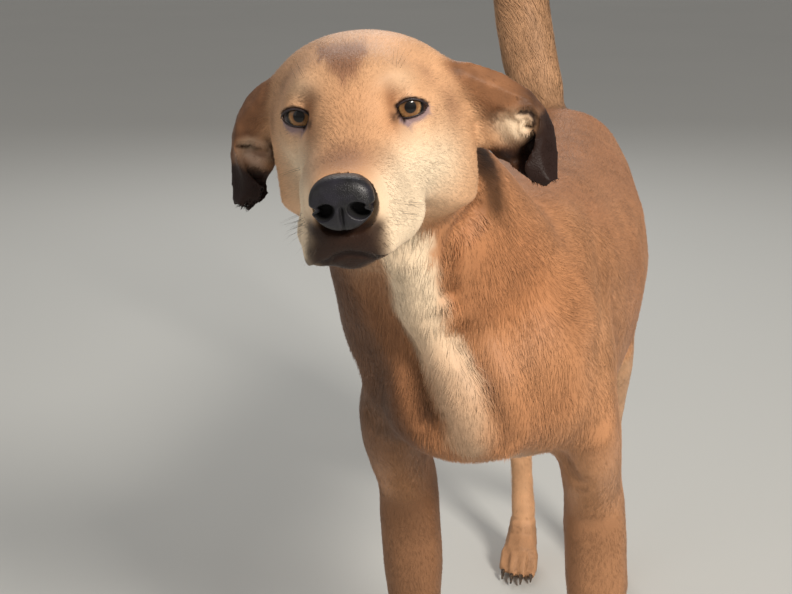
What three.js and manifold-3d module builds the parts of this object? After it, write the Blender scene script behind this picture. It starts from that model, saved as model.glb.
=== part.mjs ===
// A standing dog, life-size, as a still museum model: a young short-coated hound cross.
//
// Millimetres, +Z up. The dog faces -Y and its left side is +X. In the working frame the withers
// are over y = 0 and the ground is z = 0; at the end the whole group is moved so that the origin
// is the middle of the foot of its bounding box.
//
// Each fleshy form is a closed loft of super-elliptic rings. Forms are joined and parted with
// manifold-3d, and every part keeps a thin cut to its neighbours.

import Module from 'manifold-3d';
import * as THREE from 'three';
import { LoftGeometry } from 'three/addons/geometries/LoftGeometry.js';
import { mergeVertices } from 'three/addons/utils/BufferGeometryUtils.js';

const wasm = await Module();
wasm.setup();

// ---------------------------------------------------------------- driving dimensions

const CUT = 0.4; // width of the cut between neighbouring parts

const SIDES = [ // left first; the right shoulder and hind leg stand a little differently
	{ name: 'left', sign: 1 },
	{ name: 'right', sign: -1 },
];

const FORELEG_X = 79; // foreleg from the middle plane
const SWAY = -12; // the chest and shoulders sway this much towards the right
const HIND = { // the right hind leg stands under the body
	left: hindleg( 58, 69, 72 ),
	right: hindleg( -60, -66, -30 ),
};

/** The places of hip, knee, hock and paw in a hind leg, from the x of hip, knee and paw. */
function hindleg( hipX, kneeX, pawX ) {

	return {
		hip: new THREE.Vector3( hipX, 396, 500 ),
		knee: new THREE.Vector3( kneeX, 346, 338 ),
		hock: new THREE.Vector3( THREE.MathUtils.lerp( kneeX, pawX, 0.75 ), 466, 172 ),
		foot: new THREE.Vector3( pawX, 436, 0 ),
	};

}

const EYE = {
	radius: 12.5, lid: 14.6, // of the ball, and of the lids over it
	forward: -8, side: 30, up: 0, // the ball's middle in the head
	turn: 0.22, slant: 0.38, slit: [ 23, 14 ], // turn outwards, outer corner up, width and height
};
const EYE_MESH = { columns: 10, rows: 7 };

const HEAD_PLACE = new THREE.Vector3( -71.7, -237.4, 667.6 ); // midway between the eyes
const HEAD_TURN = new THREE.Euler( -0.034, -0.093, 0.142, 'ZXY' ); // nod, tilt, turn

const COLOUR = {
	tan: 0xb9824f, red: 0xa06a43, cream: 0xe0c094, dusk: 0x8c6248, dark: 0x2b1d18,
	nose: 0x17171b, eye: 0x7c5222, claw: 0x2e2825, paw: 0xc39663,
};

// ---------------------------------------------------------------- forms

const UP = new THREE.Vector3( 0, 0, 1 );
const DOWN = new THREE.Vector3( 0, 0, -1 );
const AHEAD = new THREE.Vector3( 0, -1, 0 );
const BACK = new THREE.Vector3( 0, 1, 0 );
const LEFT = new THREE.Vector3( 1, 0, 0 );

/** One cross-section: its centre, half-width, and reach above and below (or ahead and behind). */
function ring( x, y, z, wide, over, under = over, power = 2.2 ) {

	return { at: new THREE.Vector3( x, y, z ), wide, over, under, power };

}

/** A signed power, which squares off or sharpens an ellipse. */
function bend( value, power ) {

	return Math.sign( value ) * Math.abs( value ) ** ( 2 / power );

}

/** The points of one super-elliptic section in the plane across a direction. */
function section( centre, along, top, size, power, around, scale ) {

	const over = top.clone().addScaledVector( along, - top.dot( along ) ).normalize();
	const side = new THREE.Vector3().crossVectors( over, along );

	return Array.from( { length: around }, ( _, k ) => {

		const angle = 2 * Math.PI * k / around;
		const up = bend( Math.sin( angle ), power );
		return centre.clone()
			.addScaledVector( side, scale * size.x * bend( Math.cos( angle ), power ) )
			.addScaledVector( over, scale * up * ( up > 0 ? size.y : size.z ) );

	} );

}

/** Moves a point away from a centre by the height that nearby mounds have there. */
function swell( point, centre, mounds ) {

	const height = mounds.reduce( ( sum, { at, radius, rise } ) =>
		sum + rise * Math.exp( - point.distanceToSquared( at ) / radius ** 2 ), 0 );
	return point.clone().addScaledVector( point.clone().sub( centre ).normalize(), height );

}

const FORM = { around: 16, between: 1, top: UP, ends: [ 0.5, 0.5 ], caps: 1, mounds: [], grow: 0 };

/**
 * A closed form through a few rings, smooth between them and rounded at both ends.
 * Each ring has `around` points, and a span between two rings has `between` bands of faces. `top`
 * is the direction that each ring's reach "over" faces. `ends` say how far the ends bulge, as a
 * share of their radius, and `caps` with how many rings. `mounds` raise or hollow the surface near
 * a place. `grow` swells it all for a cut.
 */
function form( rings, options ) {

	const { around, between, top, ends, caps, mounds, grow } = { ...FORM, ...options };
	const capAngles = caps > 1 ? [ 0.5, 1.1 ] : [ 0.85 ];
	const path = new THREE.CatmullRomCurve3( rings.map( ( r ) => r.at ) );
	const sizes = new THREE.CatmullRomCurve3(
		rings.map( ( r ) => new THREE.Vector3( r.wide, r.over, r.under ).addScalar( grow ) ) );
	const spans = rings.length - 1;
	const sections = [];

	const add = ( t, shift, scale ) => {

		const power = THREE.MathUtils.lerp( rings[ Math.floor( t * spans ) ].power,
			rings[ Math.ceil( t * spans ) ].power, ( t * spans ) % 1 );
		const along = path.getTangent( t );
		const centre = path.getPoint( t ).addScaledVector( along, shift );
		const points = section( centre, along, top, sizes.getPoint( t ), power, around, scale );
		sections.push( points.map( ( point ) => swell( point, centre, mounds ) ) );

	};

	const round = ( t, direction, roundness ) => ( roundness > 0 ? capAngles : [] ).map( ( angle ) => {

		const size = sizes.getPoint( t );
		const depth = roundness * Math.min( size.x, ( size.y + size.z ) / 2 ) + grow;
		return [ t, direction * depth * Math.sin( angle ), Math.cos( angle ) ];

	} );

	round( 0, -1, ends[ 0 ] ).reverse().forEach( ( args ) => add( ...args ) );
	for ( let k = 0; k <= spans * between; k ++ ) add( k / ( spans * between ), 0, 1 );
	round( 1, 1, ends[ 1 ] ).forEach( ( args ) => add( ...args ) );

	return solid( new LoftGeometry( sections, { closed: true, capStart: true, capEnd: true } ) );

}

/** A ball with its poles ahead and behind. */
function egg( centre, radius, { columns, rows } ) {

	return solid( new THREE.SphereGeometry( radius, columns, rows ).translate( ...centre.toArray() ) );

}

/** A thin closed sheet along a row of open midlines, as thick as `thickness( u, v )`. */
function sheet( midlines, thickness ) {

	const rows = midlines.length;
	const columns = midlines[ 0 ].length;

	const sections = midlines.map( ( line, i ) => {

		const before = midlines[ Math.max( i - 1, 0 ) ];
		const after = midlines[ Math.min( i + 1, rows - 1 ) ];
		const faces = line.map( ( point, j ) => {

			const along = after[ j ].clone().sub( before[ j ] );
			const across = line[ Math.min( j + 1, columns - 1 ) ].clone().sub( line[ Math.max( j - 1, 0 ) ] );
			const normal = along.cross( across ).normalize();
			const half = thickness( i / ( rows - 1 ), j / ( columns - 1 ) ) / 2;
			return [ half, - half ].map( ( reach ) => point.clone().addScaledVector( normal, reach ) );

		} );
		return [ ...faces.map( ( pair ) => pair[ 1 ] ), ...faces.map( ( pair ) => pair[ 0 ] ).reverse() ];

	} );

	return solid( new LoftGeometry( sections, { closed: true, capStart: true, capEnd: true } ) );

}

// ---------------------------------------------------------------- joining and parting

/** A closed three.js geometry as a manifold solid, turned right side out. */
function solid( geometry ) {

	const bare = new THREE.BufferGeometry();
	bare.setAttribute( 'position', geometry.getAttribute( 'position' ) );
	bare.setIndex( geometry.getIndex() );
	const merged = mergeVertices( bare, 1e-3 );
	const triVerts = new Uint32Array( merged.index.array );
	const mesh = new wasm.Mesh( { numProp: 3, vertProperties: merged.attributes.position.array, triVerts } );
	return new wasm.Manifold( mesh );

}

function join( ...solids ) {

	return solids.reduce( ( whole, next ) => whole.add( next ) );

}

function cut( whole, ...tools ) {

	return mainPiece( tools.reduce( ( rest, tool ) => rest.subtract( tool ), whole ) );

}

/** The largest of the pieces that a cut leaves. */
function mainPiece( whole ) {

	return whole.decompose().reduce( ( best, next ) => ( next.volume() > best.volume() ? next : best ) );

}

/** What lies beyond a plane, in the direction given, less half a cut. */
function beyond( whole, point, direction ) {

	const reach = 1500;
	const normal = direction.clone().normalize();
	const centre = point.clone().addScaledVector( normal, ( CUT + reach ) / 2 );
	const half = new THREE.BoxGeometry( reach, reach, reach )
		.applyQuaternion( new THREE.Quaternion().setFromUnitVectors( UP, normal ) )
		.translate( ...centre.toArray() );
	return mainPiece( whole.intersect( solid( half ) ) );

}

/** Parts a solid by a plane, with a thin cut: the piece behind it, then the piece beyond it. */
function part( whole, point, direction ) {

	return [ beyond( whole, point, direction.clone().negate() ), beyond( whole, point, direction ) ];

}

/** Keeps what is above the ground, which leaves small flats under the paws. */
function onGround( whole ) {

	return beyond( whole, new THREE.Vector3( 0, 0, - CUT / 2 ), UP );

}

// ---------------------------------------------------------------- trunk, neck and tail

const TRUNK = [ // from the breastbone back to the buttocks
	ring( -22, -134, 442, 60, 62, 42 ),
	ring( -20, -106, 446, 88, 84, 58, 2.4 ),
	ring( -15, -56, 450, 93, 112, 80, 2.3 ),
	ring( -12, 0, 456, 92, 124, 116 ),
	ring( -8, 70, 456, 101, 119, 125 ),
	ring( -3, 150, 458, 106, 112, 122 ),
	ring( 2, 230, 463, 104, 105, 107 ),
	ring( 4, 300, 474, 93, 97, 88 ),
	ring( 2, 360, 487, 84, 88, 76 ),
	ring( -4, 420, 498, 78, 86, 82 ),
	ring( -12, 466, 502, 62, 70, 76 ),
];
const TRUNK_FORM = { ends: [ 0.7, 0.75 ], caps: 2 };

const NECK = [ // from between the shoulders up to the back of the skull
	ring( -18, 14, 488, 74, 66, 74, 2.1 ),
	ring( -44, -70, 524, 86, 80, 98, 2.4 ),
	ring( -56, -110, 578, 70, 66, 80, 2.3 ),
	ring( -72, -146, 620, 58, 56, 66 ),
	ring( -84, -178, 640, 46, 42, 50 ),
];
const NECK_FORM = { around: 14, ends: [ 0.2, 0.5 ] };

const TAIL = [ // a raised sickle tail, leaning to the right
	ring( -18, 452, 545, 30, 28 ),
	ring( -31, 476, 580, 34, 32 ),
	ring( -45, 490, 622, 37, 34 ),
	ring( -55, 497, 668, 37, 35 ),
	ring( -62, 495, 718, 36, 34 ),
	ring( -70, 480, 766, 30, 30 ),
	ring( -78, 452, 808, 25, 25 ),
	ring( -84, 415, 842, 18, 18 ),
	ring( -88, 384, 861, 9, 9 ),
];
const TAIL_FORM = { around: 10, top: AHEAD, ends: [ 0.5, 0.9 ] };
const TAIL_CUTS = [ 3, 5 ]; // the rings at which the tail is parted into lengths

// ---------------------------------------------------------------- legs

/** Shoulder blade and its muscle, from the withers down to the point of the shoulder. */
function shoulderRings( sign ) {

	return [
		ring( sign * 34 + SWAY, 20, 546, 26, 34, 42 ),
		ring( sign * 56 + SWAY, -8, 506, 28, 48, 56 ),
		ring( sign * 70 + SWAY, -44, 458, 27, 48, 60 ),
		ring( sign * 77 + SWAY, -78, 414, 24, 36, 46 ),
	];

}

/** Upper arm with the triceps, from the point of the shoulder back to the elbow. */
function upperArmRings( sign ) {

	return [
		ring( sign * 77 + SWAY, -78, 424, 24, 30, 46 ),
		ring( sign * 78 + SWAY, -50, 388, 27, 34, 60 ),
		ring( sign * FORELEG_X + SWAY, -18, 350, 27, 32, 50 ),
		ring( sign * FORELEG_X + 0.8 * SWAY, 0, 316, 26, 26, 34 ),
	];

}

/** Forearm, wrist and pastern, from the elbow down into the paw. */
function forearmRings( sign ) {

	const x = sign * FORELEG_X;
	return [
		ring( x + 0.8 * SWAY, 8, 338, 25, 24, 30 ),
		ring( x + 0.6 * SWAY, 0, 296, 28, 27, 30 ),
		ring( x + 0.2 * SWAY, -4, 240, 28, 25, 26 ),
		ring( x, -6, 180, 22, 20, 21 ),
		ring( x, -8, 132, 20, 19, 20 ),
		ring( x, -8, 112, 21, 20, 20 ),
		ring( x, -8, 88, 18, 17, 18 ),
		ring( x, -18, 52, 20, 18, 18 ),
	];

}

/** Thigh, from the hip down to the knee. */
function thighRings( hip, knee ) {

	const x = ( share ) => THREE.MathUtils.lerp( hip.x, knee.x, share );
	return [
		ring( 0.7 * hip.x, hip.y + 8, hip.z + 14, 38, 48, 66 ),
		ring( x( 0 ), hip.y + 8, hip.z - 42, 42, 70, 74 ),
		ring( x( 0.4 ), hip.y - 8, hip.z - 96, 40, 66, 66 ),
		ring( x( 0.8 ), hip.y - 30, hip.z - 138, 32, 46, 50 ),
		ring( knee.x, knee.y, knee.z - 6, 26, 29, 36 ),
	];

}

/** Lower leg, from the knee back to the hock, with the heel string behind it. */
function lowerLegRings( knee, hock ) {

	const at = ( share, ...reach ) =>
		ring( ...new THREE.Vector3().lerpVectors( knee, hock, share ).toArray(), ...reach );
	return [
		at( 0, 27, 30, 36 ),
		at( 0.25, 26, 27, 34 ),
		at( 0.55, 20, 21, 27 ),
		at( 0.85, 15, 17, 22 ),
		at( 1, 16, 18, 21 ),
	];

}

/** Hock and hind pastern, straight down into the paw. */
function hockRings( hock, paw ) {

	return [
		ring( hock.x, hock.y + 12, hock.z + 24, 10, 9, 9 ),
		ring( hock.x, hock.y + 6, hock.z + 4, 16, 17, 17 ),
		ring( hock.x, hock.y + 2, hock.z - 22, 16, 17, 16 ),
		ring( THREE.MathUtils.lerp( hock.x, paw.x, 0.5 ), hock.y - 4, hock.z - 66, 15, 15, 14 ),
		ring( paw.x, paw.y + 12, 62, 17, 16, 15 ),
		ring( paw.x, paw.y + 2, 42, 18, 16, 16 ),
	];

}

const TOES = [ -1.5, -0.5, 0.5, 1.5 ]; // the toes' places across the paw, in toe widths
const TOE_WIDTH = 12.6;

/** A paw: an arched back, four toes, and pads cut flat by the ground; and its claws. */
function paw( { x, y }, size ) {

	const at = ( side, ahead, up, ...reach ) =>
		ring( x + side * size, y - ahead * size, up * size, ...reach.map( ( length ) => length * size ) );
	const back = form(
		[ at( 0, -12, 50, 19, 17, 24 ), at( 0, 4, 36, 22, 18, 42 ), at( 0, 22, 26, 23.5, 16, 30 ) ],
		{ around: 8, top: AHEAD, ends: [ 0, 0.5 ] } );

	const toes = TOES.map( ( place ) => {

		const side = place * TOE_WIDTH;
		const tip = Math.abs( place ) < 1 ? 50 : 41; // the middle toes reach further
		return {
			flesh: form( [
				at( 0.8 * side, 13, 29, 7.6, 10 ),
				at( 0.97 * side, tip - 18, 25, 7.8, 10.5, 14 ),
				at( side, tip - 3, 12, 7.6, 9, 10 ),
			], { around: 6, ends: [ 0, 0.9 ] } ),
			claw: [
				at( side, tip + 6.2, 12, 3.1, 3.6 ),
				at( side, tip + 12, 9.6, 2.4, 2.9 ),
				at( side, tip + 17, 4.6, 1, 1.2 ),
			],
		};

	} );

	return {
		flesh: onGround( join( back, ...toes.map( ( toe ) => toe.flesh ) ) ),
		claws: toes.map( ( toe ) => toe.claw ),
	};

}

const CLAW_FORM = { around: 5, ends: [ 0, 0 ] };

// ---------------------------------------------------------------- head, in its own frame

/** A place in the head: forward from the eyes, to its left, and up. */
function inHead( forward, side, up ) {

	return new THREE.Vector3( side, - forward, up );

}

function headRing( forward, up, wide, over, under = over, power = 2.2 ) {

	return ring( 0, - forward, up, wide, over, under, power );

}

/** A rise of the head's surface, or a hollow below zero, that fades out over a radius. */
function mound( forward, side, up, radius, rise ) {

	return { at: inHead( forward, side, up ), radius, rise };

}

const SKULL = [ // from the back of the skull to the muzzle's front
	headRing( -108, 0, 34, 33, 36 ),
	headRing( -96, -2, 45, 42, 50 ),
	headRing( -74, -5, 54, 49, 60 ),
	headRing( -50, -8, 57, 54, 63, 2.3 ),
	headRing( -32, -10, 54, 52, 60, 2.3 ),
	headRing( -16, -13, 49, 48, 57, 2.3 ),
	headRing( 0, -18, 43, 43, 51 ),
	headRing( 14, -25, 36, 32, 44 ),
	headRing( 30, -33, 30, 26, 38, 2.4 ),
	headRing( 50, -38, 29, 25, 34, 2.6 ),
	headRing( 70, -41, 25, 23, 31, 2.6 ),
	headRing( 84, -43, 20, 20, 26, 2.4 ),
];

const MOUNDS = [ // forward, to the side, up; radius; rise or, below zero, hollow
	[ [ 0, 23, 20 ], 13, 4 ], // brow
	[ [ -10, 44, -16 ], 15, 2 ], // front of the cheekbone
	[ [ -42, 54, -8 ], 18, 2 ], // back of the cheekbone
	[ [ -46, 50, -50 ], 26, 13 ], // angle of the jaw
	[ [ -22, 44, -56 ], 24, 13 ], // jaw muscle
	[ [ 2, 41, -50 ], 20, 8 ], // front of the cheek
	[ [ -50, 48, 22 ], 16, 5 ], // root of the ear
	[ [ 26, 34, -56 ], 18, 11 ], // corner of the upper lip
	[ [ 50, 28, -60 ], 16, 7 ], // upper lip
	[ [ 72, 20, -62 ], 14, 5 ], // front of the upper lip
	[ [ 70, 24, -46 ], 12, 2 ], // whisker pad
	[ [ -26, 44, 24 ], 16, -3 ], // temple
	[ [ 17, 28, -4 ], 14, -8 ], // hollow at the inner corner of the eye
	[ [ 20, 34, -24 ], 15, -4 ], // hollow below the eye
	[ [ 10, 0, 14 ], 13, -3.5 ], // stop
	[ [ -24, 0, 38 ], 13, -2 ], // furrow of the forehead
].flatMap( ( [ [ forward, side, up ], radius, rise ] ) => ( side > 0 ? [ side, - side ] : [ 0 ] ).map(
	( x ) => mound( forward, x, up, radius, rise ) ) );
const CHEEK_FOLD = [ // the skin gathers on the side that the neck comes from
	mound( -44, 60, -56, 30, 14 ),
	mound( -58, 60, -6, 24, 6 ),
];
const SKULL_FORM = { around: 20, between: 2, ends: [ 0.5, 0.4 ], mounds: [ ...MOUNDS, ...CHEEK_FOLD ] };

const JAW = [
	headRing( -44, -60, 38, 30, 24 ),
	headRing( 0, -62, 27, 26, 23 ),
	headRing( 30, -64, 20, 24, 21, 2.4 ),
	headRing( 58, -65, 16, 20, 17, 2.4 ),
	headRing( 75, -65, 12, 14, 13 ),
];
const JAW_FORM = { around: 10, ends: [ 0, 0.5 ] };

const NOSE = [
	headRing( 76, -33, 13, 10, 12 ),
	headRing( 86, -37, 18, 14.5, 16, 2.5 ),
	headRing( 93, -38, 18.5, 15, 16, 2.6 ),
	headRing( 98, -39, 14, 10, 12, 2.4 ),
];
const NOSE_FORM = { around: 12, ends: [ 0.3, 0.5 ] };

/** The almond opening between the lids, as a short prism along the line of sight. */
function eyeSlit( sign ) {

	const [ width, height ] = EYE.slit;
	const half = width / 2;
	const almond = new THREE.Shape();
	almond.moveTo( - half, -1 );
	almond.quadraticCurveTo( 0, 1.15 * height, half, 0 );
	almond.quadraticCurveTo( 0, -1.05 * height, - half, -1 );
	const prism = new THREE.ExtrudeGeometry( almond, { depth: 40, bevelEnabled: false, curveSegments: 5 } );
	prism.rotateZ( sign * EYE.slant ).rotateX( Math.PI / 2 ).rotateZ( sign * EYE.turn );
	return solid( prism.translate( ...inHead( EYE.forward, sign * EYE.side, EYE.up ).toArray() ) );

}

/** A nostril: a round pocket with a slit that curves out to the side. */
function nostril( sign ) {

	const at = ( forward, side, up, reach ) => ring( sign * side, - forward, up, reach, reach );
	return form( [
		at( 88, 9, -38, 2 ),
		at( 99, 8.5, -39, 4.2 ),
		at( 100, 13, -42, 3.2 ),
		at( 97, 18, -43, 1.6 ),
	], { around: 5, top: AHEAD } );

}

// Four guide lines of a folded hanging ear, from its root to its tip: forward, to the side, up.
const EAR = {
	crest: [ // the outline
		[ -45, 50, 22 ], [ -53, 80, 13 ], [ -66, 106, -6 ],
		[ -69, 117, -26 ], [ -65, 119, -46 ], [ -58, 118, -60 ] ],
	edge: [ // the free edge of the fold that hangs ahead
		[ -40, 54, 10 ], [ -49, 78, -9 ], [ -54, 104, -18 ],
		[ -53, 104, -36 ], [ -50, 95, -52 ], [ -54, 110, -64 ] ],
	margin: [ // the lower margin
		[ -84, 52, -14 ], [ -82, 66, -32 ], [ -74, 80, -42 ],
		[ -67, 88, -49 ], [ -61, 96, -56 ], [ -60, 108, -63 ] ],
	bulge: [ // the rounded back
		[ -76, 56, 12 ], [ -90, 80, -4 ], [ -89, 101, -20 ],
		[ -81, 109, -37 ], [ -71, 112, -50 ], [ -63, 113, -61 ] ],
};
const EAR_ROWS = 8;
const EAR_SIDES = { // the right ear is held closer to the neck, with its lower part tucked in
	left: { reach: ( side ) => side, tuck: [ 0, 0, 0, 0, 0, 0 ] },
	right: { reach: ( side ) => - ( 17 + 0.62 * side ), tuck: [ 0, 0, 0, -3, -9, -5 ] },
};

/** An ear as a thin folded sheet that follows its guide lines. */
function ear( { reach, tuck } ) {

	const guide = ( points, tucks ) => new THREE.CatmullRomCurve3( points.map( ( [ forward, side, up ], k ) =>
		inHead( forward, reach( side ) - tucks * tuck[ k ], up ) ) );
	const lines = [ guide( EAR.margin, 1 ), guide( EAR.bulge, 0 ), guide( EAR.crest, 0 ), guide( EAR.edge, 1 ) ];

	const midlines = Array.from( { length: EAR_ROWS + 1 }, ( _, i ) => {

		const [ margin, bulge, crest, edge ] = lines.map( ( line ) => line.getPoint( i / EAR_ROWS ) );
		return new THREE.CatmullRomCurve3( [
			margin,
			margin.clone().lerp( bulge, 0.62 ),
			bulge.clone().lerp( crest, 0.5 ),
			crest,
			crest.clone().lerp( edge, 0.5 ).add( inHead( 5, 0, 2 ) ),
			edge,
		] ).getPoints( 5 );

	} );

	return sheet( midlines, ( u, v ) => ( 5 - 2 * u ) * ( 1 - 0.45 * Math.abs( 2 * v - 1 ) ) );

}

// ---------------------------------------------------------------- the dog

const root = new THREE.Group();
const head = new THREE.Group();
head.position.copy( HEAD_PLACE );
head.rotation.copy( HEAD_TURN );
head.updateMatrix();
root.add( head );

/** Names a solid as a mesh about a pivot of its own; solids of the head are in the head's frame. */
function place( group, name, piece, colour, roughness = 0.9 ) {

	const mesh = piece.getMesh();
	const geometry = new THREE.BufferGeometry();
	geometry.setAttribute( 'position', new THREE.BufferAttribute( mesh.vertProperties, 3 ) );
	geometry.setIndex( new THREE.BufferAttribute( mesh.triVerts, 1 ) );
	geometry.computeBoundingBox();
	const pivot = geometry.boundingBox.getCenter( new THREE.Vector3() ).round();
	geometry.translate( - pivot.x, - pivot.y, - pivot.z ).computeVertexNormals();

	const material = new THREE.MeshStandardMaterial( { color: colour, roughness, metalness: 0 } );
	const node = new THREE.Mesh( geometry, material );
	node.name = name;
	node.position.copy( pivot );
	group.add( node );

}

/** An eyeball, as deep a dome as the radius says. */
function eyeball( sign, radius ) {

	return egg( inHead( EYE.forward, sign * EYE.side, EYE.up ), radius, EYE_MESH );

}

/** Places the parts of the head, and returns its whole mass, a little swollen, to cut the neck. */
function buildHead() {

	const both = ( make ) => SIDES.map( ( { sign } ) => make( sign ) );
	const lids = both( ( sign ) => eyeball( sign, EYE.lid ) );
	const sockets = both( ( sign ) => eyeball( sign, EYE.radius + CUT ) );
	const flesh = join( form( SKULL, SKULL_FORM ), ...lids );
	const skull = cut( flesh, form( NOSE, { ...NOSE_FORM, grow: CUT } ), ...sockets, ...both( eyeSlit ) );
	place( head, 'head', skull, COLOUR.tan );

	const swollen = form( SKULL, { ...SKULL_FORM, grow: CUT } );
	place( head, 'lower_jaw', cut( form( JAW, JAW_FORM ), swollen ), COLOUR.cream );
	place( head, 'nose', cut( form( NOSE, NOSE_FORM ), ...both( nostril ) ), COLOUR.nose, 0.4 );

	const neck = form( NECK, { ...NECK_FORM, grow: CUT } ).transform( head.matrix.clone().invert().elements );
	for ( const { name, sign } of SIDES ) {

		place( head, `eye_${ name }`, eyeball( sign, EYE.radius ), COLOUR.eye, 0.1 );
		place( head, `ear_${ name }`, cut( ear( EAR_SIDES[ name ] ), swollen, neck ), COLOUR.dark );

	}

	return join( swollen, form( JAW, { ...JAW_FORM, grow: CUT } ) ).transform( head.matrix.elements );

}

/** Parts the tail into lengths from root to tip. */
function buildTail() {

	const whole = form( TAIL, TAIL_FORM );
	let rest = whole;
	TAIL_CUTS.forEach( ( index, k ) => {

		const along = TAIL[ index + 1 ].at.clone().sub( TAIL[ index - 1 ].at );
		const [ length, further ] = part( rest, TAIL[ index ].at, along );
		place( root, `tail_${ [ 'root', 'middle' ][ k ] }`, length, COLOUR.tan );
		rest = further;

	} );
	place( root, 'tail_tip', rest, COLOUR.tan );

}

/**
 * The side of the body that belongs to a leg: a smooth outline seen from the side, drawn in y and z,
 * from the plane x = `inner` outwards. `grow` widens it for the cut.
 */
function legRegion( sign, inner, outline, grow = 0 ) {

	const depth = 200;
	const line = new THREE.SplineCurve( outline.map( ( [ y, z ] ) => new THREE.Vector2( y, z ) ) );
	const geometry = new THREE.ExtrudeGeometry( new THREE.Shape( line.getPoints( 9 ) ),
		{ depth, bevelEnabled: grow > 0, bevelThickness: grow, bevelSize: grow, bevelSegments: 1 } );
	geometry.applyMatrix4( new THREE.Matrix4().makeBasis( BACK, UP, LEFT ) );
	return solid( geometry.translate( sign > 0 ? inner : - inner - depth, 0, 0 ) );

}

const FORE_OUTLINE = [
	[ -30, 250 ], [ -110, 370 ], [ -140, 425 ], [ -80, 490 ], [ -20, 568 ],
	[ 26, 572 ], [ 48, 520 ], [ 42, 420 ], [ 56, 340 ], [ 40, 250 ],
];
const HIND_OUTLINE = [
	[ 300, 300 ], [ 314, 400 ], [ 330, 480 ], [ 372, 548 ], [ 440, 552 ],
	[ 500, 500 ], [ 500, 400 ], [ 440, 300 ], [ 370, 270 ],
];

/** Places the lengths that planes part a chain of flesh into, and returns the last of them. */
function placeChain( chain, links ) {

	return links.reduce( ( rest, [ name, point, direction, colour ] ) => {

		const [ length, further ] = part( rest, point, direction );
		place( root, name, length, colour );
		return further;

	}, chain );

}

const LEG_FORM = { around: 10, top: AHEAD, ends: [ 0.4, 0 ] };

/** Parts a foreleg from the body into its lengths, and returns the body without it. */
function buildForeleg( body, { name, sign } ) {

	const x = sign * FORELEG_X;
	const region = ( grow ) => legRegion( sign, 46 + sign * SWAY, FORE_OUTLINE, grow );
	const front = paw( new THREE.Vector3( x, -26, 0 ), 1 );
	const chain = join( body.intersect( region( 0 ) ), form( forearmRings( sign ), LEG_FORM ), front.flesh );
	const foot = placeChain( chain, [
		[ `shoulder_${ name }`, new THREE.Vector3( x, -30, 430 ), new THREE.Vector3( 0, -0.35, -1 ), COLOUR.red ],
		[ `upper_arm_${ name }`, new THREE.Vector3( x, 0, 322 ), new THREE.Vector3( 0, 0.15, -1 ), COLOUR.red ],
		[ `forearm_${ name }`, new THREE.Vector3( x, 0, 134 ), DOWN, COLOUR.tan ],
		[ `front_pastern_${ name }`, new THREE.Vector3( x, 0, 62 ), DOWN, COLOUR.tan ],
	] );

	const inside = x - sign * 19.5;
	const dewclaw = [
		ring( inside, -16, 91, 2.4, 2.8 ),
		ring( inside - sign, -21, 86, 2, 2.4 ),
		ring( inside - sign, -24, 80, 1, 1 ),
	];
	placePaw( `front_paw_${ name }`, `front_claw_${ name }`, foot, [ ...front.claws, dewclaw ] );
	return cut( body, region( CUT ) );

}

/** Parts a hind leg from the body into its lengths, and returns the body without it. */
function buildHindleg( body, { name, sign } ) {

	const { hip, knee, hock, foot: stand } = HIND[ name ];
	const region = ( grow ) => legRegion( sign, 16, HIND_OUTLINE, grow );
	const hind = paw( stand, 0.92 );
	const chain = join( body.intersect( region( 0 ) ), form( lowerLegRings( knee, hock ), LEG_FORM ),
		form( hockRings( hock, stand ), { ...LEG_FORM, around: 8 } ), hind.flesh );
	const belowKnee = knee.clone().add( new THREE.Vector3( 0, 0, -8 ) );
	const aboveHock = hock.clone().add( new THREE.Vector3( 0, -8, 12 ) );
	const foot = placeChain( chain, [
		[ `thigh_${ name }`, belowKnee, new THREE.Vector3( 0, 0.5, -1 ), COLOUR.tan ],
		[ `lower_leg_${ name }`, aboveHock, new THREE.Vector3( 0, 0.3, -1 ), COLOUR.tan ],
		[ `hock_${ name }`, new THREE.Vector3( 0, 0, 58 ), DOWN, COLOUR.tan ],
	] );
	placePaw( `hind_paw_${ name }`, `hind_claw_${ name }`, foot, hind.claws );
	return cut( body, region( CUT ) );

}

/** Places a paw and its claws, counted from the dog's right to its left. */
function placePaw( name, clawName, flesh, claws ) {

	place( root, name, flesh, COLOUR.paw );
	claws.forEach( ( rings, k ) => {

		place( root, `${ clawName }_${ k + 1 }`, form( rings, CLAW_FORM ), COLOUR.claw, 0.5 );

	} );

}

/** Joins the flesh of trunk, neck and upper legs, and parts it again into named lengths. */
function buildBody( headMass ) {

	const upperLegs = SIDES.flatMap( ( { name, sign } ) => [
		form( shoulderRings( sign ), LEG_FORM ),
		form( upperArmRings( sign ), LEG_FORM ),
		form( thighRings( HIND[ name ].hip, HIND[ name ].knee ), LEG_FORM ),
	] );
	const flesh = join( form( TRUNK, TRUNK_FORM ), form( NECK, NECK_FORM ), ...upperLegs );
	const whole = cut( flesh, form( TAIL, { ...TAIL_FORM, grow: CUT } ) );
	const trunk = SIDES.reduce( ( body, side ) => buildHindleg( buildForeleg( body, side ), side ), whole );

	const neckRoot = new THREE.Vector3( -20, -40, 530 );
	const [ torso, neck ] = part( trunk, neckRoot, new THREE.Vector3( -0.2, -0.72, 0.66 ) );
	place( root, 'neck', cut( neck, headMass ), COLOUR.red );
	const [ chest, behind ] = part( torso, new THREE.Vector3( 0, 112, 0 ), BACK );
	const [ belly, rump ] = part( behind, new THREE.Vector3( 0, 292, 0 ), BACK );
	place( root, 'chest', chest, COLOUR.red );
	place( root, 'belly', belly, COLOUR.dusk );
	place( root, 'rump', rump, COLOUR.dusk );

}

buildBody( buildHead() );
buildTail();

const box = new THREE.Box3().setFromObject( root );
const centre = box.getCenter( new THREE.Vector3() );
root.position.set( - centre.x, - centre.y, - box.min.z );

export default root;
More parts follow.
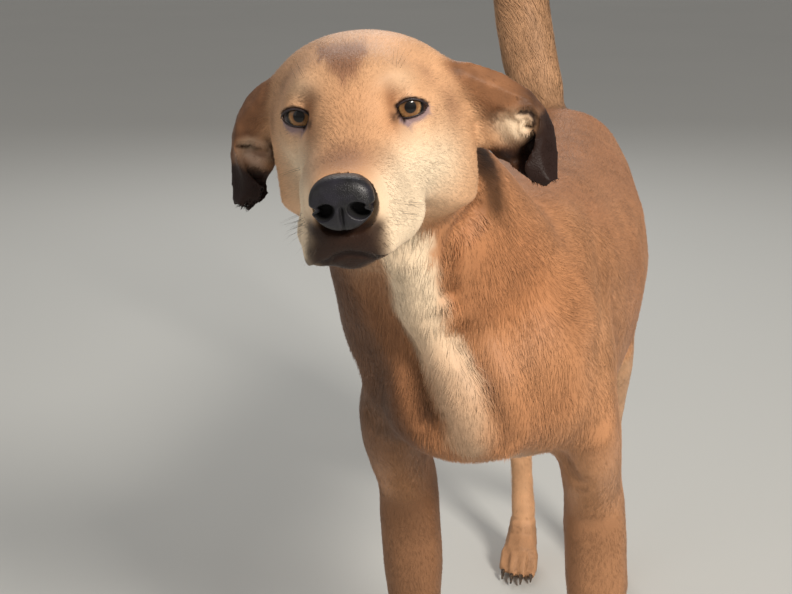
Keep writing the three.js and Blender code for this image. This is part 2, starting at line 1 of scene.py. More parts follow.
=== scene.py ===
"""The looks of a standing hound: one smooth skin under a short coat of modelled tufts, with its eyes, lid
rims, nose leather and whiskers as pieces of their own and its claws in horn, in a plain studio."""

import logging
import math
from dataclasses import dataclass, field
from enum import Enum

import bpy
import numpy as np
from mathutils import Euler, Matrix
from mathutils.bvhtree import BVHTree

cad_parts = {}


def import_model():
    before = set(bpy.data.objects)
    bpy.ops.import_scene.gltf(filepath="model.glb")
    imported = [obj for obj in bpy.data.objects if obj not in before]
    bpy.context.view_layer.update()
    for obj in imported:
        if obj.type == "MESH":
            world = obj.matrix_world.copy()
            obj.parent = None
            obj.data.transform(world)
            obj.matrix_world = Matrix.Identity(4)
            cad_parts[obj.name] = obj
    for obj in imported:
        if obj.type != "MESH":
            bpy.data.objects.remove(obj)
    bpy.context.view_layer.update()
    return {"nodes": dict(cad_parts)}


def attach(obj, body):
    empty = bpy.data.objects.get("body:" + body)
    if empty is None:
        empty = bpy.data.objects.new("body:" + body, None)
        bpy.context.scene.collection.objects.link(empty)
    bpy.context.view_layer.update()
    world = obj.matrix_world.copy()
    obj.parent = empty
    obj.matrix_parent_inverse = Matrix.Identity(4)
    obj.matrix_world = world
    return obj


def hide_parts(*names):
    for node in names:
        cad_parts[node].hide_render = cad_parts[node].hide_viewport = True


MM = 0.001
BODY = "root"
SEED = 11
COAT_DEPTH = 3.5  # how far under the coat's outside the creases are placed, in millimetres
LOG = logging.getLogger("hound")

Array = np.ndarray


class Region(Enum):
    """A stretch of the body with one kind of coat, and the CAD nodes that give its form."""

    TRUNK = ("chest", "belly", "rump")
    NECK = ("neck",)
    SHOULDER = ("shoulder", "upper_arm")
    FORELEG = ("forearm", "front_pastern")
    THIGH = ("thigh",)
    HINDLEG = ("lower_leg", "hock")
    TAIL = ("tail",)
    HEAD = ("head", "lower_jaw")
    EAR = ("ear",)
    PAW = ("front_paw", "hind_paw")

    @property
    def index(self) -> int:
        """The region's column in a table of region weights."""
        return list(Region).index(self)

    @staticmethod
    def of(node: str) -> "Region | None":
        """The region that a CAD node belongs to, or None for an eye, the nose or a claw."""
        return next((r for r in Region if any(node == n or node.startswith(n + "_") for n in r.value)), None)


@dataclass(frozen=True)
class Pelt:
    """The coat of one region. Lengths are in millimetres."""

    depth: float  # how far the skin lies under the outside of the coat
    length: float
    width: float
    lift: float  # height of a tuft's tip over its root
    share: float  # tufts on each square centimetre
    flow: tuple[float, float, float]  # the way the hair lies: x to the left side, y to the rear, z up
    smooth: float  # how strongly the CAD's facets are rounded away, 0 to 1


PELTS = {
    Region.TRUNK: Pelt(3.0, 12, 0.85, 1.0, 28, (0, 0.86, -0.5), 0.8),
    Region.NECK: Pelt(3.5, 12, 0.85, 1.1, 38, (0, 0.75, -0.66), 0.8),
    Region.SHOULDER: Pelt(2.6, 11, 0.8, 0.9, 36, (0, 0.3, -0.95), 0.7),
    Region.FORELEG: Pelt(1.8, 8, 0.75, 0.7, 36, (0, 0.25, -0.97), 0.2),
    Region.THIGH: Pelt(3.2, 12, 0.9, 1.2, 26, (0, 0.45, -0.9), 0.7),
    Region.HINDLEG: Pelt(1.8, 8, 0.75, 0.8, 34, (0, 0.55, -0.83), 0.2),
    Region.TAIL: Pelt(6.0, 26, 0.8, 2.6, 55, (0, 0.3, 0.95), 0.35),
    Region.HEAD: Pelt(1.2, 5.5, 0.6, 0.65, 80, (0, 0.8, -0.5), 0.5),
    Region.EAR: Pelt(0.8, 3.6, 0.6, 0.35, 75, (0, 0.3, -0.95), 0.15),
    Region.PAW: Pelt(1.0, 5, 0.7, 0.9, 50, (0, -0.8, -0.6), 0.15),
}


def unit(vectors: Array) -> Array:
    """Vectors scaled to length one; a zero vector stays zero."""
    return vectors / np.maximum(np.linalg.norm(vectors, axis=-1, keepdims=True), 1e-12)


def ease(low: float, high: float, values: Array) -> Array:
    """0 below low and 1 above high, with a smooth S between: 3t² - 2t³."""
    t = np.clip((values - low) / (high - low), 0, 1)
    return t * t * (3 - 2 * t)


def mirrored(places: Array) -> Array:
    """Places of the head's frame with its right side laid over the left one: (x, |y|, z)."""
    return np.column_stack([places[:, 0], np.abs(places[:, 1]), places[:, 2]])


@dataclass(frozen=True)
class Place:
    """A frame of its own inside the model, with points in millimetres."""

    origin: Array
    axes: Array  # its three axes as columns, in the model's axes

    def out(self, points: Array) -> Array:
        """Takes points of this frame, in millimetres, to the model, in metres."""
        return self.origin + (np.asarray(points, float) * MM) @ self.axes.T

    def into(self, points: Array) -> Array:
        """Takes the model's points, in metres, to this frame, in millimetres."""
        return (points - self.origin) @ self.axes / MM

    def turn_out(self, vectors: Array) -> Array:
        """Turns directions of this frame to the model's."""
        return np.asarray(vectors, float) @ self.axes.T


@dataclass
class Shape:
    """A mesh as whole arrays: points, and faces of three or four corners each."""

    points: Array
    faces: Array

    @classmethod
    def triangulated(cls, mesh: bpy.types.Mesh) -> "Shape":
        """Reads a mesh as triangles, with its points as they are stored.

        Args:
            mesh: a mesh with faces of any kind.

        Returns:
            The shape, with single-precision points.
        """
        points = np.empty(len(mesh.vertices) * 3, np.float32)
        mesh.vertices.foreach_get("co", points)
        mesh.calc_loop_triangles()
        faces = np.empty(len(mesh.loop_triangles) * 3, np.int32)
        mesh.loop_triangles.foreach_get("vertices", faces)
        return cls(points.reshape(-1, 3), faces.reshape(-1, 3))

    @classmethod
    def of_object(cls, obj: bpy.types.Object) -> "Shape":
        """Reads an object's triangles, with the corners that share a place to a micrometre merged.

        Args:
            obj: a mesh object.

        Returns:
            The shape, without the triangles that close up in the merge.
        """
        shape = cls.triangulated(obj.data)
        keys = np.round(shape.points * 1e6).astype(np.int64)
        kept, inverse = np.unique(keys, axis=0, return_inverse=True)
        faces = inverse.reshape(-1)[shape.faces]
        whole = (faces[:, 0] != faces[:, 1]) & (faces[:, 1] != faces[:, 2]) & (faces[:, 2] != faces[:, 0])
        return cls(kept * 1e-6, faces[whole])

    @classmethod
    def of_mesh(cls, mesh: bpy.types.Mesh) -> "Shape":
        """Reads a mesh whose faces all have the same number of corners.

        Args:
            mesh: a mesh with faces of one kind.

        Returns:
            The shape.
        """
        points = np.empty(len(mesh.vertices) * 3, np.float32)
        mesh.vertices.foreach_get("co", points)
        faces = np.empty(len(mesh.loops), np.int32)
        mesh.loops.foreach_get("vertex_index", faces)
        return cls(points.reshape(-1, 3).astype(float), faces.reshape(len(mesh.polygons), -1))

    @classmethod
    def joined(cls, shapes: "list[Shape]") -> "Shape":
        """Puts triangle meshes together into one.

        Args:
            shapes: meshes with faces of three corners.

        Returns:
            The shape of all of them.
        """
        starts = np.cumsum([0] + [len(s.points) for s in shapes[:-1]])
        return cls(
            np.concatenate([s.points for s in shapes]),
            np.concatenate([s.faces + start for s, start in zip(shapes, starts)]),
        )

    @property
    def triangles(self) -> Array:
        """The faces as triangles.

        Returns:
            Three corners for each face, with a quad cut in two.
        """
        if self.faces.shape[1] == 3:
            return self.faces
        return np.concatenate([self.faces[:, [0, 1, 2]], self.faces[:, [0, 2, 3]]])

    def normals(self) -> Array:
        """The points' normals: the sum of the faces' area vectors around each, made one long.

        Returns:
            One unit vector for each point.
        """
        tri = self.triangles
        a, b, c = (self.points[tri[:, k]] for k in range(3))
        area = np.cross(b - a, c - a)
        total = np.stack([
            np.bincount(tri.ravel(), np.repeat(area[:, k], 3), len(self.points)) for k in range(3)
        ], 1)
        return unit(total)

    def grown(self, distance: float | Array) -> "Shape":
        """Moves each point along its normal, by metres."""
        return Shape(self.points + self.normals() * np.reshape(distance, (-1, 1)), self.faces)

    def to_object(self, name: str, smooth: bool = True) -> bpy.types.Object:
        """Makes a Blender object of the arrays.

        Args:
            name: the object's name.
            smooth: whether its faces shade smoothly.

        Returns:
            The object, linked to the scene.
        """
        mesh = bpy.data.meshes.new(name)
        corners = self.faces.shape[1]
        mesh.vertices.add(len(self.points))
        mesh.vertices.foreach_set("co", self.points.astype(np.float32).ravel())
        mesh.loops.add(self.faces.size)
        mesh.loops.foreach_set("vertex_index", self.faces.astype(np.int32).ravel())
        mesh.polygons.add(len(self.faces))
        mesh.polygons.foreach_set("loop_start", np.arange(0, self.faces.size, corners, dtype=np.int32))
        mesh.update(calc_edges=True)
        mesh.polygons.foreach_set("use_smooth", np.full(len(self.faces), smooth))
        obj = bpy.data.objects.new(name, mesh)
        bpy.context.scene.collection.objects.link(obj)
        return obj

    def remeshed(self, voxel: float) -> "Shape":
        """One closed surface around all the solids, on a grid of cubes of that size.

        Args:
            voxel: the cubes' side, in metres.

        Returns:
            The surface, in quads.
        """
        obj = self.to_object("remesh")
        modifier = obj.modifiers.new("voxels", "REMESH")
        modifier.mode = "VOXEL"
        modifier.voxel_size = voxel
        result = evaluated(obj)
        shape = Shape.of_mesh(result)
        bpy.data.meshes.remove(result)
        discard(obj)
        return shape


def evaluated(obj: bpy.types.Object) -> bpy.types.Mesh:
    """A new mesh with the object's modifiers applied."""
    return bpy.data.meshes.new_from_object(obj.evaluated_get(bpy.context.evaluated_depsgraph_get()))


def discard(obj: bpy.types.Object) -> None:
    """Removes a working object and its mesh.

    Args:
        obj: the object.
    """
    mesh = obj.data
    bpy.data.objects.remove(obj)
    bpy.data.meshes.remove(mesh)


class Net:
    """A surface's points and the edges between them, for averages over neighbours."""

    def __init__(self, faces: Array, count: int) -> None:
        """Takes each pair of neighbouring points once from the faces.

        Args:
            faces: the surface's faces.
            count: how many points it has.
        """
        around = np.concatenate([
            np.stack([faces[:, k], faces[:, (k + 1) % faces.shape[1]]], 1) for k in range(faces.shape[1])
        ])
        edges = np.unique(np.sort(around, 1), axis=0)
        self.start, self.end = edges.T
        self.count = count
        self.degree = np.bincount(edges.ravel(), minlength=count).reshape(-1, 1)

    def mean(self, values: Array) -> Array:
        """The mean of each point's neighbours, a column at a time.

        Args:
            values: a column or more of numbers on the points.

        Returns:
            The means, in the same columns.
        """
        total = [
            np.bincount(self.start, column[self.end], self.count)
            + np.bincount(self.end, column[self.start], self.count)
            for column in values.T
        ]
        return np.stack(total, 1) / np.maximum(self.degree, 1)

    def relax(self, values: Array, weight: float | Array, rounds: int) -> Array:
        """Moves each point's values towards its neighbours' mean, round after round.

        Args:
            values: a column or more of numbers on the points.
            weight: how far they go in a round, 0 to 1, for all or for each point.
            rounds: how many rounds.

        Returns:
            The values after the last round.
        """
        weight = np.reshape(weight, (-1, 1))
        for _ in range(rounds):
            values = values + weight * (self.mean(values) - values)
        return values

    def round_off(self, points: Array, weight: float | Array, rounds: int) -> Array:
        """Relaxes a form, then gives back most of the volume that took: S(p) + S(p - S(p))."""
        once = self.relax(points, weight, rounds)
        return once + self.relax(points - once, weight, rounds)


class Anatomy:
    """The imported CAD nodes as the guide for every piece: forms, regions and the head's frame."""

    EYE_PLACE = (-8.0, 30.0, 0.0)  # forward, left and up from the head's origin
    HEAD_PLACE = (-71.7, -237.4, 667.6)  # the head's origin in the body's own frame
    HEAD_TURN = (0.142, -0.034, -0.093)  # about z, then x, then y
    ROOT_TOUCH = 0.4 * MM  # a claw's points this near to the toe belong to its root

    def __init__(self, nodes: dict[str, bpy.types.Object]) -> None:
        """Reads the solids and works out the head's frame from the two eyes.

        Args:
            nodes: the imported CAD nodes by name.
        """
        self.flesh = {name: Shape.of_object(obj) for name, obj in nodes.items() if Region.of(name)}
        eyes = [self.ball_centre(Shape.of_object(nodes[f"eye_{side}"]).points) for side in ("left", "right")]
        about_z, about_x, about_y = (
            np.array(Euler(turn).to_matrix())
            for turn in ((0, 0, self.HEAD_TURN[0]), (self.HEAD_TURN[1], 0, 0), (0, self.HEAD_TURN[2], 0))
        )
        forward_left_up = np.array([[0, 1, 0], [-1, 0, 0], [0, 0, 1]], float)
        axes = about_z @ about_x @ about_y @ forward_left_up
        origin = np.mean(eyes, 0) - axes[:, 0] * self.EYE_PLACE[0] * MM
        self.head = Place(origin, axes)
        self.body = Place(origin - np.array(self.HEAD_PLACE) * MM, np.eye(3))
        self.claws = [Shape.of_object(obj) for name, obj in nodes.items() if "claw" in name]
        everything = Shape.joined(list(self.flesh.values()))
        owners = [Region.of(name).index for name in self.flesh]
        self.owner = np.repeat(owners, [len(s.faces) for s in self.flesh.values()])
        self.tree = BVHTree.FromPolygons(everything.points.tolist(), everything.faces.tolist())

    @staticmethod
    def ball_centre(points: Array) -> Array:
        """The centre of the ball that points lie on: |p|² = 2 p·c + (r² - |c|²), solved for c."""
        table = np.column_stack([2 * points, np.ones(len(points))])
        return np.linalg.lstsq(table, (points**2).sum(1), rcond=None)[0][:3]

    def solids(self, *regions: Region) -> list[Shape]:
        """The CAD solids of some regions."""
        return [shape for name, shape in self.flesh.items() if Region.of(name) in regions]

    def nail_folds(self, over: float = 2.9 * MM) -> list[Shape]:
        """A ball of flesh round the root of each claw: round the points that touch the toe, and a
        little over.

        Args:
            over: how far the ball reaches past the root's points, in metres.

        Returns:
            One ball for each claw.
        """
        folds = []
        for claw in self.claws:
            gaps = np.array([self.tree.find_nearest(point)[3] for point in claw.points.tolist()])
            root = claw.points[gaps < gaps.min() + self.ROOT_TOUCH]
            middle = root.mean(0)
            folds.append(ball(middle, np.linalg.norm(root - middle, axis=1).max() + over))
        return folds

    def region_table(self, points: Array) -> Array:
        """One column for each region, with 1 where a point's nearest CAD face is of that region.

        Args:
            points: the model's points.

        Returns:
            The table, a row for each point.
        """
        nearest = self.tree.find_nearest
        faces = np.array([nearest(point)[2] for point in points.tolist()])
        return np.eye(len(Region))[self.owner[faces]]


def ball(centre: Array, radius: float, around: int = 32, rows: int = 16) -> Shape:
    """A closed ball of triangles: (r sin a cos b, r sin a sin b, r cos a).

    Args:
        centre: its middle.
        radius: its radius, in the same unit.
        around: points in a ring.
        rows: steps from pole to pole.

    Returns:
        The ball.
    """
    a = np.linspace(0, math.pi, rows + 1)[1:-1, None]
    b = np.arange(around)[None, :] * 2 * math.pi / around
    rim = np.stack([np.sin(a) * np.cos(b), np.sin(a) * np.sin(b), np.cos(a) + 0 * b], -1).reshape(-1, 3)
    points = np.concatenate([rim, [[0, 0, 1], [0, 0, -1]]]) * radius + centre
    return Shape(points, tube_faces(rows - 1, around))


def tube_faces(rings: int, around: int) -> Array:
    """Triangles of a tube of rings, with a fan to one point past each end.

    Args:
        rings: how many rings the tube has.
        around: how many points each ring has.

    Returns:
        The triangles. The rings' points come first, then the pole before them and the pole after.
    """
    i, j = np.meshgrid(np.arange(rings - 1), np.arange(around), indexing="ij")
    a, b = i * around + j, i * around + (j + 1) % around
    c, d = a + around, b + around
    sides = np.concatenate([np.stack([a, c, b], -1).reshape(-1, 3), np.stack([b, c, d], -1).reshape(-1, 3)])
    turn = np.arange(around)
    after = (turn + 1) % around
    first, last = rings * around, rings * around + 1
    base = (rings - 1) * around
    top = np.stack([np.full(around, first), turn, after], 1)
    bottom = np.stack([np.full(around, last), base + after, base + turn], 1)
    return np.concatenate([sides, top, bottom])


@dataclass
class EyeFrame:
    """The frame of one eye: x to its outer corner, y up across the lids, z the way it looks."""

    side: int  # 1 for the left eye, -1 for the right one
    turn: float = 0.22  # of the lids, outwards
    slant: float = 0.157  # the outer corner's rise
    gaze: tuple[float, float] = (0.28, 0.12)  # how far the left and the right eye look outwards

    def looking(self, head: Place) -> Place:
        """The same frame turned the way the ball looks."""
        turned = EyeFrame(self.side, self.gaze[0 if self.side > 0 else 1], 0.0)
        return turned.place(head)

    def place(self, head: Place) -> Place:
        """The eye's frame, centred on the ball.

        Args:
            head: the head's frame.

        Returns:
            The eye's frame.
        """
        forward, side, up = Anatomy.EYE_PLACE
        look = np.array([math.cos(self.turn), self.side * math.sin(self.turn), 0])
        out = np.array([-math.sin(self.turn), self.side * math.cos(self.turn), 0])
        rise = np.array([0, 0, 1.0])
        across = out * math.cos(self.slant) + rise * math.sin(self.slant)
        upward = rise * math.cos(self.slant) - out * math.sin(self.slant)
        return Place(
            head.out((forward, self.side * side, up)),
            head.axes @ np.column_stack([across, upward, look]),
        )


@dataclass(frozen=True)
class Almond:
    """The opening between the lids, measured in millimetres along the ball."""

    middle: float = 1.0
    half: float = 13.5
    level: float = -3.1  # of the two corners
    above: float = 7.4
    below: float = 2.8
    ball: float = 13.6

    def edges(self, across: Array) -> tuple[Array, Array]:
        """The upper and the lower lid's heights: level + above (1-u²)^1.1 (1-0.15u), and
        level - below (1-u²)^0.9, where u runs from -1 at the inner corner to 1 at the outer one.

        Args:
            across: places along the opening.

        Returns:
            The upper lid's heights and the lower lid's.
        """
        u = np.clip((across - self.middle) / self.half, -1, 1)
        arch = 1 - u * u
        return self.level + self.above * arch**1.1 * (1 - 0.15 * u), self.level - self.below * arch**0.9


@dataclass
class Skin:
    """One smooth closed skin over the whole body, sunk about a coat's depth into the CAD solids."""

    anatomy: Anatomy
    coarse: float = 4 * MM
    fine: float = 1.8 * MM
    target: int = 190_000  # triangles of the finished skin
    gap: float = 0.45 * MM  # how far the solids grow, so that neighbours join on the grid
    socket: float = 15.2 * MM  # radius of the flesh round an eyeball
    light: float = 0.45  # how light the skin is between the tufts, where a tuft runs from 0 to 1
    conchas: tuple = (  # the fleshy insides of the ears: a middle and half sizes in the head's frame
        ((-68, 92, -24), (13, 18, 15)), ((-64, 75, -8), (15, 14, 14)), ((-70, 87, -37), (10, 11, 10)),
        ((-65, 75, -24), (12, 11, 15)), ((-68, -73, -30), (12, 13, 16)), ((-64, -66, -10), (14, 12, 14)),
        ((-66, 92, -14), (14, 17, 9)), ((-60, 70, -5), (13.5, 9, 8.5)), ((-66, -79, -16), (13, 9, 9)),
    )
    shape: Shape = field(init=False)
    regions: Array = field(init=False)  # one column of weights for each region

    CREASES = (  # how deep, how wide, and the line in the body's frame; a depth below zero is a ridge
        (8.0, 6, ((-13, -152, 594), (-16, -156, 588), (-19, -164, 582), (-23, -169, 573), (-25, -168, 562),
                  (-27, -166, 551), (-26, -164, 540))),
        (8.0, 11, ((-78, -175, 545), (-75, -162, 522), (-66, -150, 500), (-55, -150, 482), (-46, -158, 462),
                   (-40, -160, 447))),
        (4.0, 9, ((-18, -152, 505), (-3, -157, 484), (8, -160, 464), (15, -160, 446), (18, -157, 430))),
        (-6.0, 15, ((-50, -180, 560), (-48, -168, 519), (-36, -152, 497), (-24, -157, 478), (-12, -162, 458),
                    (-6, -162, 440))),
        (1.6, 12, ((44, 97, 556), (53, 44, 547), (60, 10, 535), (65, -15, 518), (69, -42, 502),
                   (71, -74, 477))),
        (3.5, 9, ((57, -64, 362), (46, -74, 388), (40, -90, 405))),
        (3.5, 9, ((-108, -90, 390), (-96, -100, 412), (-80, -118, 425))),
    )

    def build(self) -> "Skin":
        """Rounds the solids into one form, shapes the face, and sinks it by the coat's depth.

        Returns:
            The skin itself, with its shape and its region weights.
        """
        shape = self.grid()
        net = Net(shape.faces, len(shape.points))
        regions = net.relax(self.anatomy.region_table(shape.points), 0.9, 30)
        shape = self.creased(Shape(self.rounded(net, shape.points, regions), shape.faces), regions)
        shape.points = Face(self.anatomy, net, regions).shaped(shape)
        depth = regions @ np.array([PELTS[r].depth for r in Region]) * MM
        self.shape = self.thinned(shape, regions, depth)
        LOG.info("skin: %d triangles", len(self.shape.triangles))
        net = Net(self.shape.faces, len(self.shape.points))
        self.regions = net.relax(self.anatomy.region_table(self.shape.points), 0.9, 12)
        return self

    def grid(self) -> Shape:
        """The rounded bulk with the head, ears, paws, eye sockets, the ears' insides and the nail folds,
        as one closed surface on the fine grid.

        Returns:
            The surface, in quads.
        """
        body = self.bulk()
        detail = [s.grown(self.gap) for s in self.anatomy.solids(Region.HEAD, Region.EAR, Region.PAW)]
        sockets = [ball(EyeFrame(side).place(self.anatomy.head).origin, self.socket) for side in (1, -1)]
        conchas = [self.blob(*sizes) for sizes in self.conchas]
        folds = self.anatomy.nail_folds()
        solids = [Shape(body.points, body.triangles), *detail, *sockets, *conchas, *folds]
        shape = Shape.joined(solids).remeshed(self.fine)
        LOG.info("skin grid: %d points", len(shape.points))
        return shape

    def rounded(self, net: Net, points: Array, regions: Array) -> Array:
        """Rounds the grid's points off, most on the head behind the muzzle, then smooths the join of
        head and neck, the brow and the top of the muzzle.

        Args:
            net: the grid's points and edges.
            points: the grid's points.
            regions: their region weights.

        Returns:
            The points, moved.
        """
        head = regions[:, Region.HEAD.index]
        forward = self.anatomy.head.into(points)[:, 0]
        weight = 0.1 + 0.7 * head * (1 - 0.7 * ease(20, 60, forward))
        points = net.round_off(points, weight, 36)
        join = np.clip(4 * head * regions[:, Region.NECK.index], 0, 1)
        place = self.anatomy.head.into(points)
        brow = head * ease(34, 16, place[:, 0]) * ease(-2, 8, place[:, 2])
        muzzle = head * ease(0, 14, place[:, 0]) * ease(82, 66, place[:, 0]) * ease(4, -6, place[:, 2])
        return net.relax(points, np.maximum(0.9 * join, np.maximum(0.85 * brow, 0.4 * muzzle)), 60)

    def creased(self, shape: Shape, regions: Array) -> Shape:
        """Sinks the skin along each crease by a bell-shaped section: deep · exp(-(away / wide)²).

        Args:
            shape: the skin before its creases.
            regions: its region weights; the head, ears and paws stay as they are.

        Returns:
            The creased skin.
        """
        fine_parts = regions[:, [Region.HEAD.index, Region.EAR.index, Region.PAW.index]].sum(1)
        near = np.flatnonzero(fine_parts < 0.5)
        inside = self.anatomy.body.into(shape.points[near]) - COAT_DEPTH * shape.normals()[near]
        sunk = np.zeros(len(shape.points))
        for deep, wide, line in self.CREASES:
            sunk[near] += deep * np.exp(-((line_distance(inside, line) / wide) ** 2))
        return shape.grown(-sunk * MM)

    def dressed(self, finish: bpy.types.Material) -> tuple[dict[str, Array], Array]:
        """Makes the skin's piece, with the coat's markings on its points, and unwraps it.

        Args:
            finish: the coat's material.

        Returns:
            The markings' shares by name, and the map's places at each triangle's corners.
        """
        obj = self.shape.to_object("skin")
        normals = self.shape.normals()
        masks = Markings(self.anatomy, self.shape.points, normals, self.regions).masks()
        store_colour(obj.data, "pelt", np.column_stack([masks["red"], masks["cream"], masks["dark"]]))
        store_colour(obj.data, "shade", np.column_stack([masks["dusk"], masks["lilac"]]))
        store_colour(obj.data, "strand", np.full((len(normals), 2), self.light))
        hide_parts(*self.anatomy.flesh)
        dress(obj, finish)
        return masks, unwrapped(obj)

    def blob(self, middle: tuple, half: tuple) -> Shape:
        """A closed ball drawn out along the head's axes."""
        unit_ball = ball(np.zeros(3), 1.0)
        return Shape(self.anatomy.head.out(unit_ball.points * half + middle), unit_ball.faces)

    def bulk(self) -> Shape:
        """The trunk, limbs, tail and the core of the head on a coarse grid, rounded off.

        Returns:
            The rounded form, with the head a little small, as the fine solids go over it.
        """
        solids = self.anatomy.solids(*[r for r in Region if r not in (Region.EAR, Region.PAW)])
        shape = Shape.joined([s.grown(self.gap) for s in solids]).remeshed(self.coarse)
        net = Net(shape.faces, len(shape.points))
        regions = net.relax(self.anatomy.region_table(shape.points), 0.9, 8)
        weight = regions @ np.array([PELTS[r].smooth for r in Region])
        points = net.round_off(shape.points, weight, 34)
        shape = Shape(points, shape.faces)
        return shape.grown(-4 * MM * ease(0.4, 0.9, regions[:, Region.HEAD.index]))

    def thinned(self, shape: Shape, regions: Array, depth: Array) -> Shape:
        """Sinks the surface by the coat's depth and merges edges, most on the body, least on the face.

        Args:
            shape: the finished form on the fine grid.
            regions: its region weights.
            depth: the coat's depth at each point, in metres.

        Returns:
            The skin, in triangles.
        """
        normals = shape.normals()
        sole = ease(0.6, 0.9, -normals[:, 2]) * ease(12 * MM, 4 * MM, shape.points[:, 2])
        sunk = shape.points - normals * (depth * (1 - sole))[:, None]
        obj = Shape(sunk, shape.faces).to_object("skin_grid")
        face = regions[:, [Region.HEAD.index, Region.EAR.index]].sum(1)
        group = obj.vertex_groups.new(name="merge")
        for level in np.linspace(0.1, 1, 10):
            chosen = np.flatnonzero(np.round(10 * (1 - 0.8 * face)) == round(10 * level))
            group.add(chosen.tolist(), float(level), "REPLACE")
        modifier = obj.modifiers.new("merge", "DECIMATE")
        modifier.ratio = self.target / len(shape.triangles)
        modifier.vertex_group = group.name
        modifier.vertex_group_factor = 10
        mesh = evaluated(obj)
        discard(obj)
        thin = Shape.triangulated(mesh)
        bpy.data.meshes.remove(mesh)
        return Shape(thin.points.astype(float), thin.faces)


